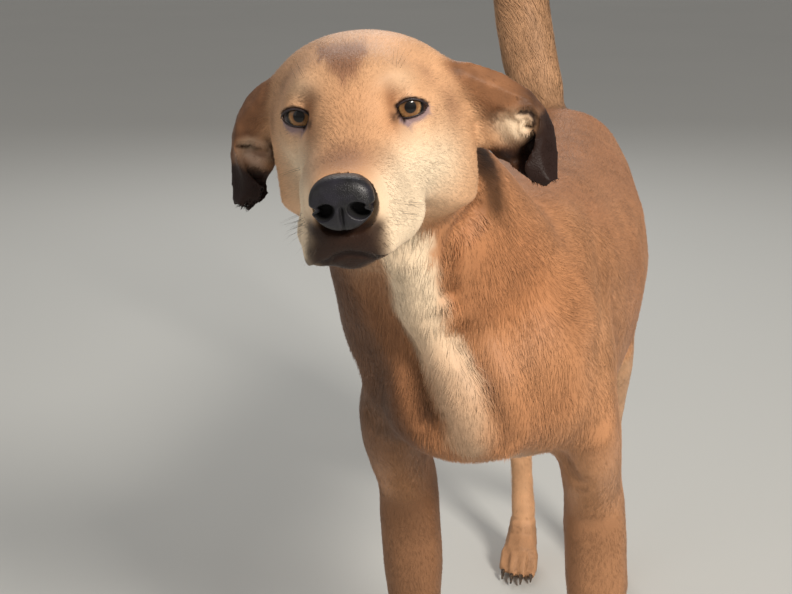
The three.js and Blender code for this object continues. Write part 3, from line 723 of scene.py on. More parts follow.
@dataclass
class Face:
    """The fine forms of the head in its own frame: eyelids, lips, cheeks and the ears' folds."""

    anatomy: Anatomy
    net: Net
    regions: Array

    PUSHES = (  # the side it is on (0 for both), a middle, radii and a shift in the head's frame
        (0, (48, 31, -63), (24, 14, 12), (0, 1.5, -3)),  # full upper lip
        (0, (75, 16, -65), (12, 13, 9), (1.5, 1.5, -3)),  # front of the lip
        (1, (28, 39, -58), (18, 14, 14), (0, 4.5, 0)),  # corner of the left lip
        (-1, (-4, 46, -47), (34, 16, 22), (0, -10, 0)),  # right cheek
        (-1, (-24, 54, -38), (26, 16, 19), (0, -7.5, 0)),
        (-1, (50, 33, -50), (24, 12, 12), (0, -3.5, 0)),  # right lip
        (-1, (26, 35, -62), (22, 14, 12), (0, 4, 0)),
        (-1, (78, 24, -44), (14, 12, 14), (0, -3.2, 0)),
        (-1, (72, 22, -68), (13, 10, 8), (0, 3, -4)),
        (0, (2, 28, 18), (12, 12, 7), (2, 0.5, 1.5)),  # brow
    )
    LIP_LINE = ((83, 0, -65), (82, 6, -66), (78, 13, -68), (68, 23, -71), (50, 33, -71), (36, 40, -67),
                (27, 42, -60), (20, 42, -54))
    PHILTRUM = ((89, 0, -50), (85, 0, -63))
    EAR_FOLDS = (  # a middle in the head's frame, and the valley's line across it
        ((-57, 99, -21), ((0, 97, -15), (0, 103, -15), (0, 106, -19), (0, 105, -24), (0, 101, -25))),
        ((-58, -75, -24), ((0, -82, -22), (0, -74, -23), (0, -66, -27))),
    )

    def shaped(self, shape: Shape) -> Array:
        """The skin's points with the face's forms worked into them.

        Args:
            shape: the skin on its fine grid.

        Returns:
            Its points, moved.
        """
        points = shape.points.copy()
        head = self.anatomy.head
        near = np.flatnonzero(self.regions[:, [Region.HEAD.index, Region.EAR.index]].sum(1) > 0.02)
        places = head.into(points[near])
        folded = mirrored(places)
        side = np.where(places[:, 1] < 0, -1, 1)
        outwards = np.column_stack([np.ones_like(side), side, np.ones_like(side)])
        for only, middle, radii, shift in self.PUSHES:
            share = bell(folded, middle, radii) * (only * side >= 0)
            places += share[:, None] * shift * outwards
        places[:, 0] += self.pouch(places)
        points[near] = head.out(places)
        normals = Shape(points, shape.faces).normals()[near]
        lips = line_distance(folded, self.LIP_LINE)
        middle = line_distance(places, self.PHILTRUM)
        carve = 3.2 * np.exp(-((lips / 1.7) ** 2)) + 1.2 * np.exp(-((middle / 1.1) ** 2))
        points[near] -= normals * (carve * MM)[:, None]
        for side in (1, -1):
            points = self.lids(points, EyeFrame(side).place(head))
        return points

    @staticmethod
    def pouch(places: Array) -> Array:
        """The folds inside the ears: soft ridges, and a narrow valley between two lips at the outer edge.

        Args:
            places: places in the head's frame.

        Returns:
            How far each moves forward, in millimetres.
        """
        total = np.zeros(len(places))
        flat = places * (0, 1, 1)
        for middle, fold in Face.EAR_FOLDS:
            away = line_distance(flat, fold)
            here = np.exp(-(((places[:, 0] - middle[0]) / 14) ** 2))
            ridge = 1.8 * np.exp(-(((away - 4.2) / 1.8) ** 2)) - 2.6 * np.exp(-((away / 1.7) ** 2))
            inside = bell(places, (-60, middle[1] * 0.86, -30), (14, 14, 12))
            wave = np.sin(places[:, 1] * 0.42 + places[:, 2] * 0.22)
            total += here * ridge + wave * inside * ease(6, 9, away)
        return total

    @staticmethod
    def opening(place: Place, points: Array) -> tuple[Array, Array, Array]:
        """How far points lie outside the eye's almond, in millimetres over the ball, their distance
        from its centre, and how far they lie above the line between the corners.

        Args:
            place: the eye's frame.
            points: the model's points.

        Returns:
            The three distances, in millimetres.
        """
        x, y, z = place.into(points).T
        far = np.sqrt(x * x + y * y + z * z)
        almond = Almond()
        across = almond.ball * np.arctan2(x, z)
        up = almond.ball * np.arctan2(y, np.sqrt(x * x + z * z))
        top, bottom = almond.edges(across)
        outside = np.maximum(np.maximum(up - top, bottom - up), np.abs(across - almond.middle) - almond.half)
        return outside, far, up - almond.level

    def lids(self, points: Array, place: Place) -> Array:
        """Lays the lids over the eyeball and opens the almond between them down behind the ball.

        Args:
            points: the skin's points.
            place: the eye's frame.

        Returns:
            The points, moved.
        """
        outside, far, up = self.opening(place, points)
        lid = 13.9 + 1.0 * ease(-0.5, 3, up) + 0.22 * np.clip(outside, 0, 6)
        fold = 0.9 * np.exp(-(((outside - 4.6) / 1.2) ** 2)) * ease(0, 3, up)
        fold += 0.5 * np.exp(-(((outside - 5.0) / 1.4) ** 2)) * ease(0, -2, up)
        target = 9.5 + (lid - fold - 9.5) * ease(-1.7, 0.1, outside)
        blend = (1 - ease(2.5, 10, outside)) * (1 - ease(24, 32, far))
        centre = place.origin
        aim = centre + unit(points - centre) * (target * MM)[:, None]
        points = points + (aim - points) * blend[:, None]
        around = ease(3, 5, outside) * (1 - ease(16, 22, outside)) * (1 - ease(30, 36, far))
        return self.net.relax(points, 0.7 * around, 14)


class Nodes:
    """A material's node tree, with short names for the few kinds of node that the finishes use."""

    def __init__(self, name: str) -> None:
        """Makes a material with a Principled shader and the object's own coordinates.

        Args:
            name: the material's name.
        """
        self.material = bpy.data.materials.new(name)
        self.material.use_nodes = True
        self.tree = self.material.node_tree
        self.shader = self.tree.nodes["Principled BSDF"]
        self.object_place = self.tree.nodes.new("ShaderNodeTexCoord").outputs["Object"]

    def put(self, kind: str, inputs: dict, **settings: object) -> bpy.types.Node:
        """Adds a node, sets its options, and gives each input a link or a constant.

        Args:
            kind: the node's type, without ShaderNode.
            inputs: what each input gets, by name or number.
            settings: the node's options.

        Returns:
            The node.
        """
        node = self.tree.nodes.new("ShaderNode" + kind)
        for option, value in settings.items():
            setattr(node, option, value)
        for socket, value in inputs.items():
            self.feed(node.inputs[socket], value)
        return node

    def feed(self, socket: bpy.types.NodeSocket, value: object) -> None:
        """Links an output to a socket, or sets the socket's constant.

        Args:
            socket: the input.
            value: an output or a constant.
        """
        if isinstance(value, bpy.types.NodeSocket):
            self.tree.links.new(value, socket)
        else:
            socket.default_value = value

    def set(self, **inputs: object) -> None:
        """Feeds the Principled shader; an underscore in a name stands for a space."""
        for name, value in inputs.items():
            self.feed(self.shader.inputs[name.replace("_", " ")], value)

    def noise(self, scale: float, detail: float = 3, place: bpy.types.NodeSocket | None = None) -> object:
        """A noise of about 1/scale metres on the object's own coordinates."""
        inputs = {"Vector": place or self.object_place, "Scale": scale, "Detail": detail}
        return self.put("TexNoise", inputs).outputs["Fac"]

    def spread(self, value: object, low: float, high: float, to_low: float = 0, to_high: float = 1) -> object:
        """Maps a range to another, held at its ends."""
        inputs = {"Value": value, "From Min": low, "From Max": high, "To Min": to_low, "To Max": to_high}
        return self.put("MapRange", inputs).outputs["Result"]

    def mix(self, share: object, first: object, second: object, blend: str = "MIX") -> object:
        """Mixes two colours.

        Args:
            share: how much of the second colour shows, 0 to 1.
            first: a colour, or an output that gives one.
            second: the other colour.
            blend: Blender's name for the way of mixing.

        Returns:
            The output with the mixed colour.
        """
        node = self.put("Mix", {}, data_type="RGBA", blend_type=blend)
        for socket, value in zip((0, 6, 7), (share, first, second)):
            self.feed(node.inputs[socket], value)
        return node.outputs[2]

    def scaled(self, colour: object, factor: object) -> object:
        """A colour with every channel times one number."""
        grey = self.put("CombineColor", {0: factor, 1: factor, 2: factor}).outputs[0]
        return self.mix(1.0, colour, grey, "MULTIPLY")

    def times(self, first: object, second: object) -> object:
        """The product of two numbers."""
        node = self.put("Math", {0: first, 1: second}, operation="MULTIPLY")
        return node.outputs[0]

    def bump(self, height: object, distance: float, strength: float = 1.0) -> object:
        """A bumped normal from a height."""
        return self.put("Bump", {"Height": height, "Distance": distance, "Strength": strength}).outputs[0]

    def attribute(self, name: str) -> bpy.types.Node:
        """The separate channels of a colour stored on the mesh."""
        stored = self.put("Attribute", {}, attribute_name=name)
        return self.put("SeparateColor", {"Color": stored.outputs["Color"]})


def srgb(red: int, green: int, blue: int) -> tuple[float, float, float, float]:
    """A screen colour, 0 to 255, as the linear one that a shader takes, by the sRGB curve."""
    linear = [c / 3294.6 if c <= 10 else ((c / 255 + 0.055) / 1.055) ** 2.4 for c in (red, green, blue)]
    return (*linear, 1.0)


@dataclass(frozen=True)
class CoatFinish:
    """Short glossy hair: tan, with the red, cream, dark, dusky and lilac markings stored on the mesh."""

    tan: tuple = srgb(220, 170, 128)
    red: tuple = srgb(184, 126, 85)
    # cream hair, also used as painted light on the stripe down neck and chest
    cream: tuple = srgb(254, 232, 200)
    # dark hair and skin, also laid down as painted shade
    dark: tuple = srgb(38, 20, 14)
    dusk: tuple = srgb(142, 100, 78)
    lilac: tuple = srgb(150, 128, 134)
    roughness: float = 0.5
    patch_scale: float = 38  # of the broad lights and darks, in 1/metres
    patches: tuple = (0.88, 1.1)  # their range of brightness
    tufts: tuple = (0.66, 1.34)  # from the darkest tuft to the lightest
    # darker roots are painted shade under the overlying hair; the lighter tips are the hair's own
    along: tuple = (0.92, 1.08)  # from a tuft's root to its tip
    hair_scale: float = 900  # of the fine hairs in the bump, in 1/metres
    hair_depth: float = 0.0006

    def material(self) -> bpy.types.Material:
        """Lays the markings over the tan one by one, then varies the light at random, with painted shade at
        the tufts' roots.

        Returns:
            The material.
        """
        n = Nodes("coat")
        marks = n.attribute("pelt").outputs
        strand = n.attribute("strand").outputs
        shade = n.attribute("shade").outputs
        colour = n.mix(marks[0], self.tan, self.red)
        colour = n.mix(marks[1], colour, self.cream)
        colour = n.mix(shade[0], colour, self.dusk)
        colour = n.mix(shade[1], colour, self.lilac)
        colour = n.mix(marks[2], colour, self.dark)
        colour = n.scaled(colour, n.spread(n.noise(self.patch_scale), 0.3, 0.7, *self.patches))
        tuft = n.spread(strand[0], 0, 1, *self.tufts)
        # painted shade at the tufts' roots, lighter tips
        along = n.spread(strand[1], 0, 1, *self.along)
        colour = n.scaled(colour, n.times(tuft, along))
        n.set(Base_Color=colour, Roughness=self.roughness, Specular_IOR_Level=0.22, Sheen_Weight=0.05,
              Sheen_Roughness=0.4)
        n.set(Normal=n.bump(n.noise(self.hair_scale, 2), self.hair_depth, 0.5))
        return n.material


@dataclass(frozen=True)
class EyeFinish:
    """An amber iris round a wide pupil, under a wet cornea. Lengths are shares of the ball's radius."""

    amber: tuple = srgb(184, 142, 94)
    deep: tuple = srgb(112, 72, 40)
    pupil: tuple = srgb(10, 8, 8)
    # the eye's white, dark brown: partly its own colour and partly painted shade
    white: tuple = srgb(58, 36, 32)
    pupil_edge: tuple = (0.25, 0.3)
    deep_edge: tuple = (0.46, 0.32)  # where the iris darkens towards the pupil
    iris_edge: tuple = (0.5, 0.59)
    white_edge: tuple = (0.62, 0.8)
    lid_shade: tuple = (-0.02, 0.3)  # the upper lid's shadow, from its lower edge up

    def material(self) -> bpy.types.Material:
        """Builds the node tree on the eye's own polar map: length is the distance from the pupil.

        Returns:
            The material.
        """
        n = Nodes("eye")
        flat = n.put("UVMap", {}, uv_map="iris").outputs[0]
        away = n.put("VectorMath", {0: flat}, operation="LENGTH").outputs["Value"]
        fibres = n.noise(9, 3, flat)
        uneven = n.put("Math", {0: away, 1: n.times(fibres, 0.1)}, operation="ADD").outputs[0]
        rim = n.spread(uneven, *self.iris_edge)
        colour = n.mix(n.spread(fibres, 0.3, 0.7, 0, 0.6), self.amber, self.deep)
        colour = n.mix(n.spread(away, *self.deep_edge, 0, 0.7), colour, self.deep)
        colour = n.mix(rim, colour, self.pupil)
        colour = n.mix(n.spread(away, *self.pupil_edge, 1, 0), colour, self.pupil)
        colour = n.mix(n.spread(away, *self.white_edge), colour, self.white)
        high = n.put("SeparateXYZ", {0: flat}).outputs["Y"]
        colour = n.mix(n.spread(high, *self.lid_shade, 0, 0.8), colour, self.pupil)
        n.set(Base_Color=colour, Roughness=0.5, Specular_IOR_Level=0.1, Coat_Weight=1.0,
              Coat_Roughness=0.03, Coat_IOR=1.36)
        n.set(Normal=n.bump(fibres, 0.0002, 0.3))
        return n.material


@dataclass(frozen=True)
class LeatherFinish:
    """Bare black skin with a fine pebble grain and a moist sheen, dull inside its hollows, which painted
    shade turns near black.
    """

    name: str = "leather"
    black: tuple = srgb(12, 11, 14)
    worn: tuple = srgb(34, 32, 42)
    # painted shade deep in the nostrils
    hollow: tuple = srgb(2, 1, 1)
    grain: float = 1400  # pebbles to a metre
    depth: float = 0.00022  # of the grain, in metres
    roughness: float = 0.38
    hollow_roughness: float = 0.85

    def material(self) -> bpy.types.Material:
        """Builds the node tree.

        Returns:
            The material.
        """
        n = Nodes(self.name)
        cells = n.put("TexVoronoi", {"Vector": n.object_place, "Scale": self.grain}).outputs["Distance"]
        colour = n.mix(n.spread(n.noise(120), 0.35, 0.7), self.black, self.worn)
        hollow = n.attribute("hollow").outputs[0]
        # painted shade: the hollows turn near black
        colour = n.mix(hollow, colour, self.hollow)
        roughness = n.spread(hollow, 0, 0.6, self.roughness, self.hollow_roughness)
        pebbles = n.bump(n.spread(cells, 0, 0.5, 1, 0), self.depth, 0.7)
        n.set(Base_Color=colour, Roughness=roughness, Specular_IOR_Level=0.5, Normal=pebbles)
        return n.material


@dataclass(frozen=True)
class HornFinish:
    """Dark horn with a little light along its grain."""

    dark: tuple = srgb(40, 32, 28)
    light: tuple = srgb(110, 92, 76)
    roughness: float = 0.35

    def material(self) -> bpy.types.Material:
        """Builds the node tree.

        Returns:
            The material.
        """
        n = Nodes("horn")
        colour = n.mix(n.spread(n.noise(500), 0.35, 0.7), self.dark, self.light)
        n.set(Base_Color=colour, Roughness=self.roughness, Specular_IOR_Level=0.5)
        n.set(Normal=n.bump(n.noise(1500), 0.0001, 0.4))
        return n.material


@dataclass(frozen=True)
class FloorFinish:
    """A plain pale studio floor."""

    pale: tuple = srgb(206, 208, 206)
    grey: tuple = srgb(180, 184, 184)
    roughness: float = 0.8

    def material(self) -> bpy.types.Material:
        """Builds the node tree.

        Returns:
            The material.
        """
        n = Nodes("floor")
        colour = n.mix(n.spread(n.noise(0.7), 0.3, 0.7, 0, 0.12), self.pale, self.grey)
        n.set(Base_Color=colour, Roughness=self.roughness)
        return n.material


def dress(obj: bpy.types.Object, material: bpy.types.Material) -> bpy.types.Object:
    """Gives a piece its material and its ride, and reports it.

    Args:
        obj: the piece.
        material: what it is made of.

    Returns:
        The piece.
    """
    obj.data.materials.clear()
    obj.data.materials.append(material)
    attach(obj, BODY)
    LOG.info("%s: %d faces", obj.name, len(obj.data.polygons))
    return obj


def store_colour(mesh: bpy.types.Mesh, name: str, channels: Array) -> None:
    """Stores up to three numbers on each point as a colour.

    Args:
        mesh: the mesh.
        name: the colour's name.
        channels: a column for each number.
    """
    table = np.ones((len(channels), 4), np.float32)
    table[:, :3] = 0
    table[:, : channels.shape[1]] = channels
    mesh.color_attributes.new(name, "FLOAT_COLOR", "POINT").data.foreach_set("color", table.ravel())


class Grain:
    """A smooth random field: values on a lattice that repeats, blended over each of its cells."""

    SIDE = 32

    def __init__(self, seed: int) -> None:
        """Draws the lattice's values from the seed."""
        self.table = np.random.default_rng(seed).standard_normal((self.SIDE,) * 3)

    def at(self, points: Array, size: float) -> Array:
        """The field at points, with lumps of that size in the points' own unit.

        Args:
            points: places in any unit.
            size: the size of a lump.

        Returns:
            The values, around zero, with a spread of about 0.6.
        """
        place = points / size
        low = np.floor(place).astype(int)
        t = place - low
        t = t * t * (3 - 2 * t)
        total = np.zeros(len(points))
        for corner in np.ndindex(2, 2, 2):
            share = np.prod(np.where(corner, t, 1 - t), 1)
            i, j, k = ((low + corner) % self.SIDE).T
            total += share * self.table[i, j, k]
        return total


def bell(points: Array, centre: tuple, radii: tuple | float) -> Array:
    """A soft spot: exp(-r²), where r is the distance from its centre in radii."""
    return np.exp(-(((points - np.array(centre)) / np.array(radii)) ** 2).sum(1))


def stripe(points: Array, line: tuple, half: float, soft: float) -> Array:
    """1 within half a width of a line of straight stretches, falling to 0 over a soft edge."""
    return 1 - ease(half - soft, half + soft, line_distance(points, line))


def line_distance(points: Array, line: tuple) -> Array:
    """The distance of points from a line of straight stretches.

    Args:
        points: places.
        line: the line's corners in order.

    Returns:
        The distances.
    """
    nearest = np.full(len(points), np.inf)
    for start, end in zip(np.array(line[:-1], float), np.array(line[1:], float)):
        along = end - start
        t = np.clip((points - start) @ along / (along @ along), 0, 1)
        nearest = np.minimum(nearest, np.linalg.norm(points - start - t[:, None] * along, axis=1))
    return nearest


@dataclass
class Markings:
    """Where each colour of the coat lies, by formulas on the body's places. Each mark is a share from 0
    to 1, and a new mark is laid over the earlier ones by the larger of the two."""

    anatomy: Anatomy
    points: Array
    normals: Array
    regions: Array
    # the cream stripe's line: partly cream hair and partly painted light on the lit ridge of neck and chest
    blaze_and_painted_light: tuple = ((-52, -190, 575), (-49, -178, 553), (-48, -170, 530), (-45, -158, 512), (-37, -152, 496),
                    (-28, -154, 484), (-20, -159, 468), (-14, -161, 452), (-12, -157, 436))
    grain: Grain = field(default_factory=lambda: Grain(SEED))
    weight: dict[Region, Array] = field(init=False)
    on_head: Array = field(init=False)
    body: Array = field(init=False)  # the points in the body's frame
    head: Array = field(init=False)  # the points in the head's frame
    folded: Array = field(init=False)  # the same with the right side over the left one
    ragged: Array = field(init=False)  # a random field for uneven edges, in millimetres
    red: Array = field(init=False)
    # cream hair, and painted light on the neck's stripe
    cream: Array = field(init=False)
    # dark hair and skin, and painted shade
    dark: Array = field(init=False)
    dusk: Array = field(init=False)
    lilac: Array = field(init=False)

    def __post_init__(self) -> None:
        """Works out the regions' weights and the points' places in the body's and the head's frames."""
        self.weight = {region: self.regions[:, region.index] for region in Region}
        self.on_head = self.weight[Region.HEAD]
        self.body = self.anatomy.body.into(self.points)
        self.head = self.anatomy.head.into(self.points)
        self.folded = mirrored(self.head)
        self.ragged = self.grain.at(self.body, 9) * 3

    def masks(self) -> dict[str, Array]:
        """Lays the marks down in order, and deepens the dark: 1 - (1 - dark)^2.2.

        Returns:
            The shares of red, cream, dark, dusk and lilac at the skin's points.
        """
        self.mark_trunk()
        self.mark_face()
        self.mark_ears()
        self.mark_forehead()
        self.mark_eyes()
        return {
            "red": self.red,
            "cream": np.clip(self.cream, 0, 1),
            "dark": 1 - (1 - np.clip(self.dark, 0, 1)) ** 2.2,
            "dusk": self.dusk,
            "lilac": self.lilac,
        }

    def darken(self, share: Array) -> None:
        """Lays a dark mark over the others."""
        self.dark = np.maximum(self.dark, share)

    def lighten(self, share: Array) -> None:
        """Lays a cream mark over the others."""
        self.cream = np.maximum(self.cream, share)

    def mark_trunk(self) -> None:
        """Red on the body, the cream stripe down neck and chest, partly painted light, and light thighs and
        belly.
        """
        w, body, off_head = self.weight, self.body, 1 - self.on_head
        red = w[Region.TRUNK] + w[Region.NECK] + 0.75 * w[Region.SHOULDER] + 0.9 * w[Region.THIGH]
        red = np.clip(red, 0, 1) * (0.9 + 0.1 * self.grain.at(body, 60))
        self.red = red + 0.65 * w[Region.FORELEG] + 0.25 * w[Region.PAW]
        along = body + self.ragged[:, None] * 0.5
        # cream hair and painted light along the lit ridge
        cream = stripe(along, self.blaze_and_painted_light, 17, 5) * off_head
        facing_front = ease(0.05, 0.45, -self.normals[:, 1])
        fading_down = 0.86 - 0.52 * ease(560, 450, body[:, 2])
        self.cream = cream * (facing_front * fading_down)
        self.lighten(0.35 * off_head * bell(body, (-88, -190, 560), (18, 24, 16)))  # right of the neck
        thigh_back = w[Region.THIGH] * ease(0.1, 0.7, self.normals[:, 1])
        belly = w[Region.TRUNK] * ease(0.5, 0.95, -self.normals[:, 2])
        self.lighten(0.36 * np.maximum(thigh_back, belly))

    def painted_shade(self) -> Array:
        """Painted shade in the folds of neck and chest, on the chest's right and the legs; dark on tail and
        paws.

        Returns:
            The share of dark at the skin's points.
        """
        w, body = self.weight, self.body
        inside = body - COAT_DEPTH * self.normals
        total = np.zeros(len(body))
        # painted shade along the creases of neck and chest
        for share, (_, wide, line) in zip((0.9, 0.8, 0.4), Skin.CREASES):
            total += share * stripe(inside, line, wide * 0.6, wide * 0.6)
        front = w[Region.TRUNK] + w[Region.NECK] + w[Region.SHOULDER]
        # painted shade on the front of the chest's right side, away from the key light
        right = ease(-30, -80, body[:, 0] + (body[:, 2] - 450) * 0.3)
        total += 0.42 * front * right * ease(300, 420, body[:, 2]) * ease(0.3, -0.3, self.normals[:, 1])
        # painted shade on the forelegs, more on the right one, and a little dark on the tail
        total += (0.14 + 0.14 * ease(10, -40, body[:, 0])) * w[Region.FORELEG] + 0.13 * w[Region.TAIL]
        # dark at the tail's root: partly a dark spot of the coat and partly painted shade
        tail_root = bell(body, (-20, 452, 562), (34, 26, 12))
        return total + 0.1 * w[Region.PAW] + 0.7 * tail_root

    def mark_face(self) -> None:
        """A light muzzle, cheeks and brows; dark lips; dark skin and painted shade under the nose and on the
        chin.
        """
        forward, left, up = self.head.T
        muzzle = ease(-40, 30, forward) * ease(8, 26, np.abs(left)) * ease(-8, -34, up)
        cheek = bell(self.folded, (-6, 50, -34), (26, 30, 26))
        cheek = cheek + 0.45 * bell(self.folded, (14, 34, -14), (14, 12, 10))
        self.lighten(self.on_head * np.clip(0.88 * muzzle + 0.36 * cheek, 0, 1))
        self.lighten(0.3 * self.on_head * bell(self.folded, (4, 26, 16), (12, 12, 8)))
        # dark under the nose and on the chin: partly dark skin and partly painted shade
        aside = np.abs(left + 2) + 0.7 * self.ragged
        under_nose = ease(64, 78, forward) * ease(27, 14, aside) * ease(-43, -52, up)
        lips = line_distance(self.folded, Face.LIP_LINE)
        chin = ease(44, 64, forward) * ease(-67, -70, up + self.ragged * 0.3) * 0.5
        self.dark = self.on_head * np.clip(np.maximum(0.85 * under_nose, chin) + ease(2.8, 1.2, lips), 0, 1)
        # the body's painted shade, kept off the cream and the head
        self.darken(np.clip(self.painted_shade(), 0, 1) * (1 - self.cream * 0.9) * (1 - self.on_head))

    def mark_ears(self) -> None:
        """Red ears with dark flaps and a light, fleshy inside, with painted shade in its folds and round the
        roots.
        """
        head, ear, ragged = self.head, self.weight[Region.EAR], self.ragged
        _, left, up = head.T
        edge = 96 + 0.506 * (up + 45.2)
        flap = ease(-1.5, 3, left - edge + 0.5 * ragged) * ease(-12, -24, up)
        # dark at the left ear's lower root, partly dark hair and partly painted shade, and painted shade
        # between the cheek and the left ear
        folds = 0.8 * bell(head, (-66, 84, -43), (14, 14, 7)) + 0.8 * bell(head, (-58, 71, -27), (14, 8, 14))
        flap = np.where(left > 0, np.maximum(flap, folds), ease(-30, -42, up + ragged))
        inner = bell(head, (-60, 93, -23), (16, 17, 12)) + 0.8 * bell(head, (-57, -75, -23), (12, 9, 8))
        facing = self.normals @ self.anatomy.head.axes[:, 0]
        inner = np.clip(1.6 * inner - 0.3, 0, 1) * ease(0.0, 0.4, facing)
        # the right ear gets more dark than the left, as painted shade
        fluff = np.where(left > 0, 0.25, 0.34) + 0.06 * self.grain.at(head, 5) + 0.25 * ease(88, 108, left)
        self.darken(ear * np.clip(fluff + flap, 0, 1))
        self.dark = self.dark * (1 - 0.9 * inner * ear)
        self.red = np.maximum(self.red, 0.9 * ear * (1 - inner))
        self.lighten(0.75 * ear * inner)
        valley = Face.pouch(head)
        # painted shade in the narrow valleys of the ears' folds
        self.darken(0.8 * ear * ease(-0.4, -1.8, valley))
        # painted shade at the right ear's root
        self.darken(0.85 * bell(head, (-60, -59, -27), (11, 6, 17)))  # the right ear's root
        # painted shade on the neck behind the left ear
        self.darken(0.62 * bell(head, (-97, 70, -46), (15, 10, 12)))  # behind the left ear
        flesh = np.clip(1.5 * bell(head, (-57, -73, -28), (14, 11, 12)) - 0.25, 0, 1)
        flesh *= ease(-2.2, -0.6, valley)
        self.dark, self.red = self.dark * (1 - 0.85 * flesh), self.red * (1 - 0.7 * flesh)
        self.lighten(0.35 * flesh)
        self.lilac = 0.4 * flesh

    def mark_forehead(self) -> None:
        """The dusky mark on the forehead, a patch behind the nose, the back, and red beside the eyes."""
        forward, left, up = self.head.T
        fine = 3 * self.grain.at(self.head * (0.4, 1, 0.4), 2.5)
        wide = np.interp(up, [14, 20, 27, 33, 40], [0, 4, 10, 14, 13])
        aside = np.abs(left + 1 + 0.3 * np.clip(up - 20, 0, 20))
        forehead = ease(6, -4, aside + fine - wide) * ease(41, 34, up) * ease(11, 17, up)
        forehead *= ease(-70, -52, forward)
        forehead += 0.9 * bell(self.head, (66, 0, -17), (22, 17, 13))
        smudges = 0.7 * bell(self.folded, (-28, 58, -4), (10, 12, 12))
        smudges = smudges + 0.5 * bell(self.folded, (-20, 43, 17), 7)
        back = self.weight[Region.TRUNK] * ease(0.3, 0.9, self.normals[:, 2])
        self.dusk = np.clip(self.on_head * (forehead + smudges) * 0.8 + 0.22 * back, 0, 1)
        tear = bell(self.folded, (14, 23, -8), (12, 7, 9)) + bell(self.folded, (9, 23, 8), (8, 6, 9))
        middle = bell(self.head, (30, 2, 4), (34, 20, 20))
        beside = self.on_head * np.clip(0.9 * tear + 0.25 * middle, 0, 1)
        self.red = np.clip(np.maximum(self.red, beside), 0, 1)

    def mark_eyes(self) -> None:
        """Dark lid edges and inner corners, and a lilac skin under the lower lids."""
        self.darken(0.12 * self.on_head * bell(self.folded, (9, 22, 5), (7, 4, 8)))
        self.darken(0.75 * self.on_head * bell(self.folded, (12, 22.5, -4.5), (5, 3.5, 3)))
        for side in (1, -1):
            outside, far, rise = Face.opening(EyeFrame(side).place(self.anatomy.head), self.points)
            near = (far < 30) * self.on_head
            under = near * ease(5.6, 3.2, outside + 0.3 * self.ragged) * ease(2, -1, rise)
            self.lilac = np.maximum(self.lilac, under * ease(20, 17, far) * 0.9)
            near = near * ease(17.5, 15.5, far)
            self.darken(near * ease(3.2, 0.8, outside + 0.2 * self.ragged) * ease(-1, 1, rise) * 0.75)
            self.darken(near * ease(2.1, 0.9, outside) * 0.9)


@dataclass
class Lie:
    """The way the hair lies on each part of the skin."""

    anatomy: Anatomy
    tail: tuple = ((-16, 450, 545), (-24, 474, 580), (-37, 490, 622), (-50, 498, 668), (-60, 496, 718),
                   (-70, 480, 766), (-78, 452, 808), (-84, 415, 842), (-88, 384, 861))

    def flow(self, points: Array, normals: Array, regions: Array) -> Array:
        """Unit directions in the skin's own plane, blended over the regions.

        Args:
            points: the skin's points.
            normals: their normals.
            regions: their region weights.

        Returns:
            One direction for each point.
        """
        way = regions @ np.array([PELTS[r].flow for r in Region])
        front = regions[:, Region.NECK.index] + regions[:, Region.TRUNK.index]
        front = (front * ease(0.2, 0.8, -normals[:, 1]))[:, None]
        way = way * (1 - front) + np.array([0, 0.05, -1.0]) * front
        top = (regions[:, Region.TRUNK.index] * ease(0.3, 0.9, normals[:, 2]))[:, None]
        way = way * (1 - top) + np.array([0, 1.0, -0.05]) * top
        for region, field_of in ((Region.HEAD, self.face), (Region.EAR, self.ear), (Region.TAIL, self.brush)):
            share = regions[:, region.index : region.index + 1]
            way = way * (1 - share) + field_of(points) * share
        way = way - normals * (way * normals).sum(1, keepdims=True)
        return unit(way)

    def face(self, points: Array) -> Array:
        """Back from the nose, spreading to the sides, up over the brow and down the cheeks.

        Args:
            points: the skin's points.

        Returns:
            One direction for each.
        """
        _, left, up = self.anatomy.head.into(points).T
        spread = 0.55 * np.tanh(left / 28)
        fall = np.where(up < 0, -0.45 * ease(0, -40, up), 0.35 * ease(0, 25, up))
        return unit(self.anatomy.head.turn_out(np.column_stack([-np.ones_like(left), spread, fall])))

    def ear(self, points: Array) -> Array:
        """Out over the root of the ear and down to its tip.

        Args:
            points: the skin's points.

        Returns:
            One direction for each.
        """
        _, left, _ = self.anatomy.head.into(points).T
        t = ease(55, 112, np.abs(left))
        way = np.column_stack([-0.15 + 0 * t, np.sign(left) * (0.9 * (1 - t) + 0.05), -(0.35 + 0.65 * t)])
        return unit(self.anatomy.head.turn_out(way))

    def brush(self, points: Array) -> Array:
        """Along the tail's line to its tip.

        Args:
            points: the skin's points.

        Returns:
            One direction for each.
        """
        body = self.anatomy.body.into(points)
        line = np.array(self.tail, float)
        middles, ways = (line[1:] + line[:-1]) / 2, unit(line[1:] - line[:-1])
        near = np.exp(-(((body[:, None] - middles) / 40) ** 2).sum(2)) + 1e-9
        return unit((near / near.sum(1, keepdims=True)) @ ways)


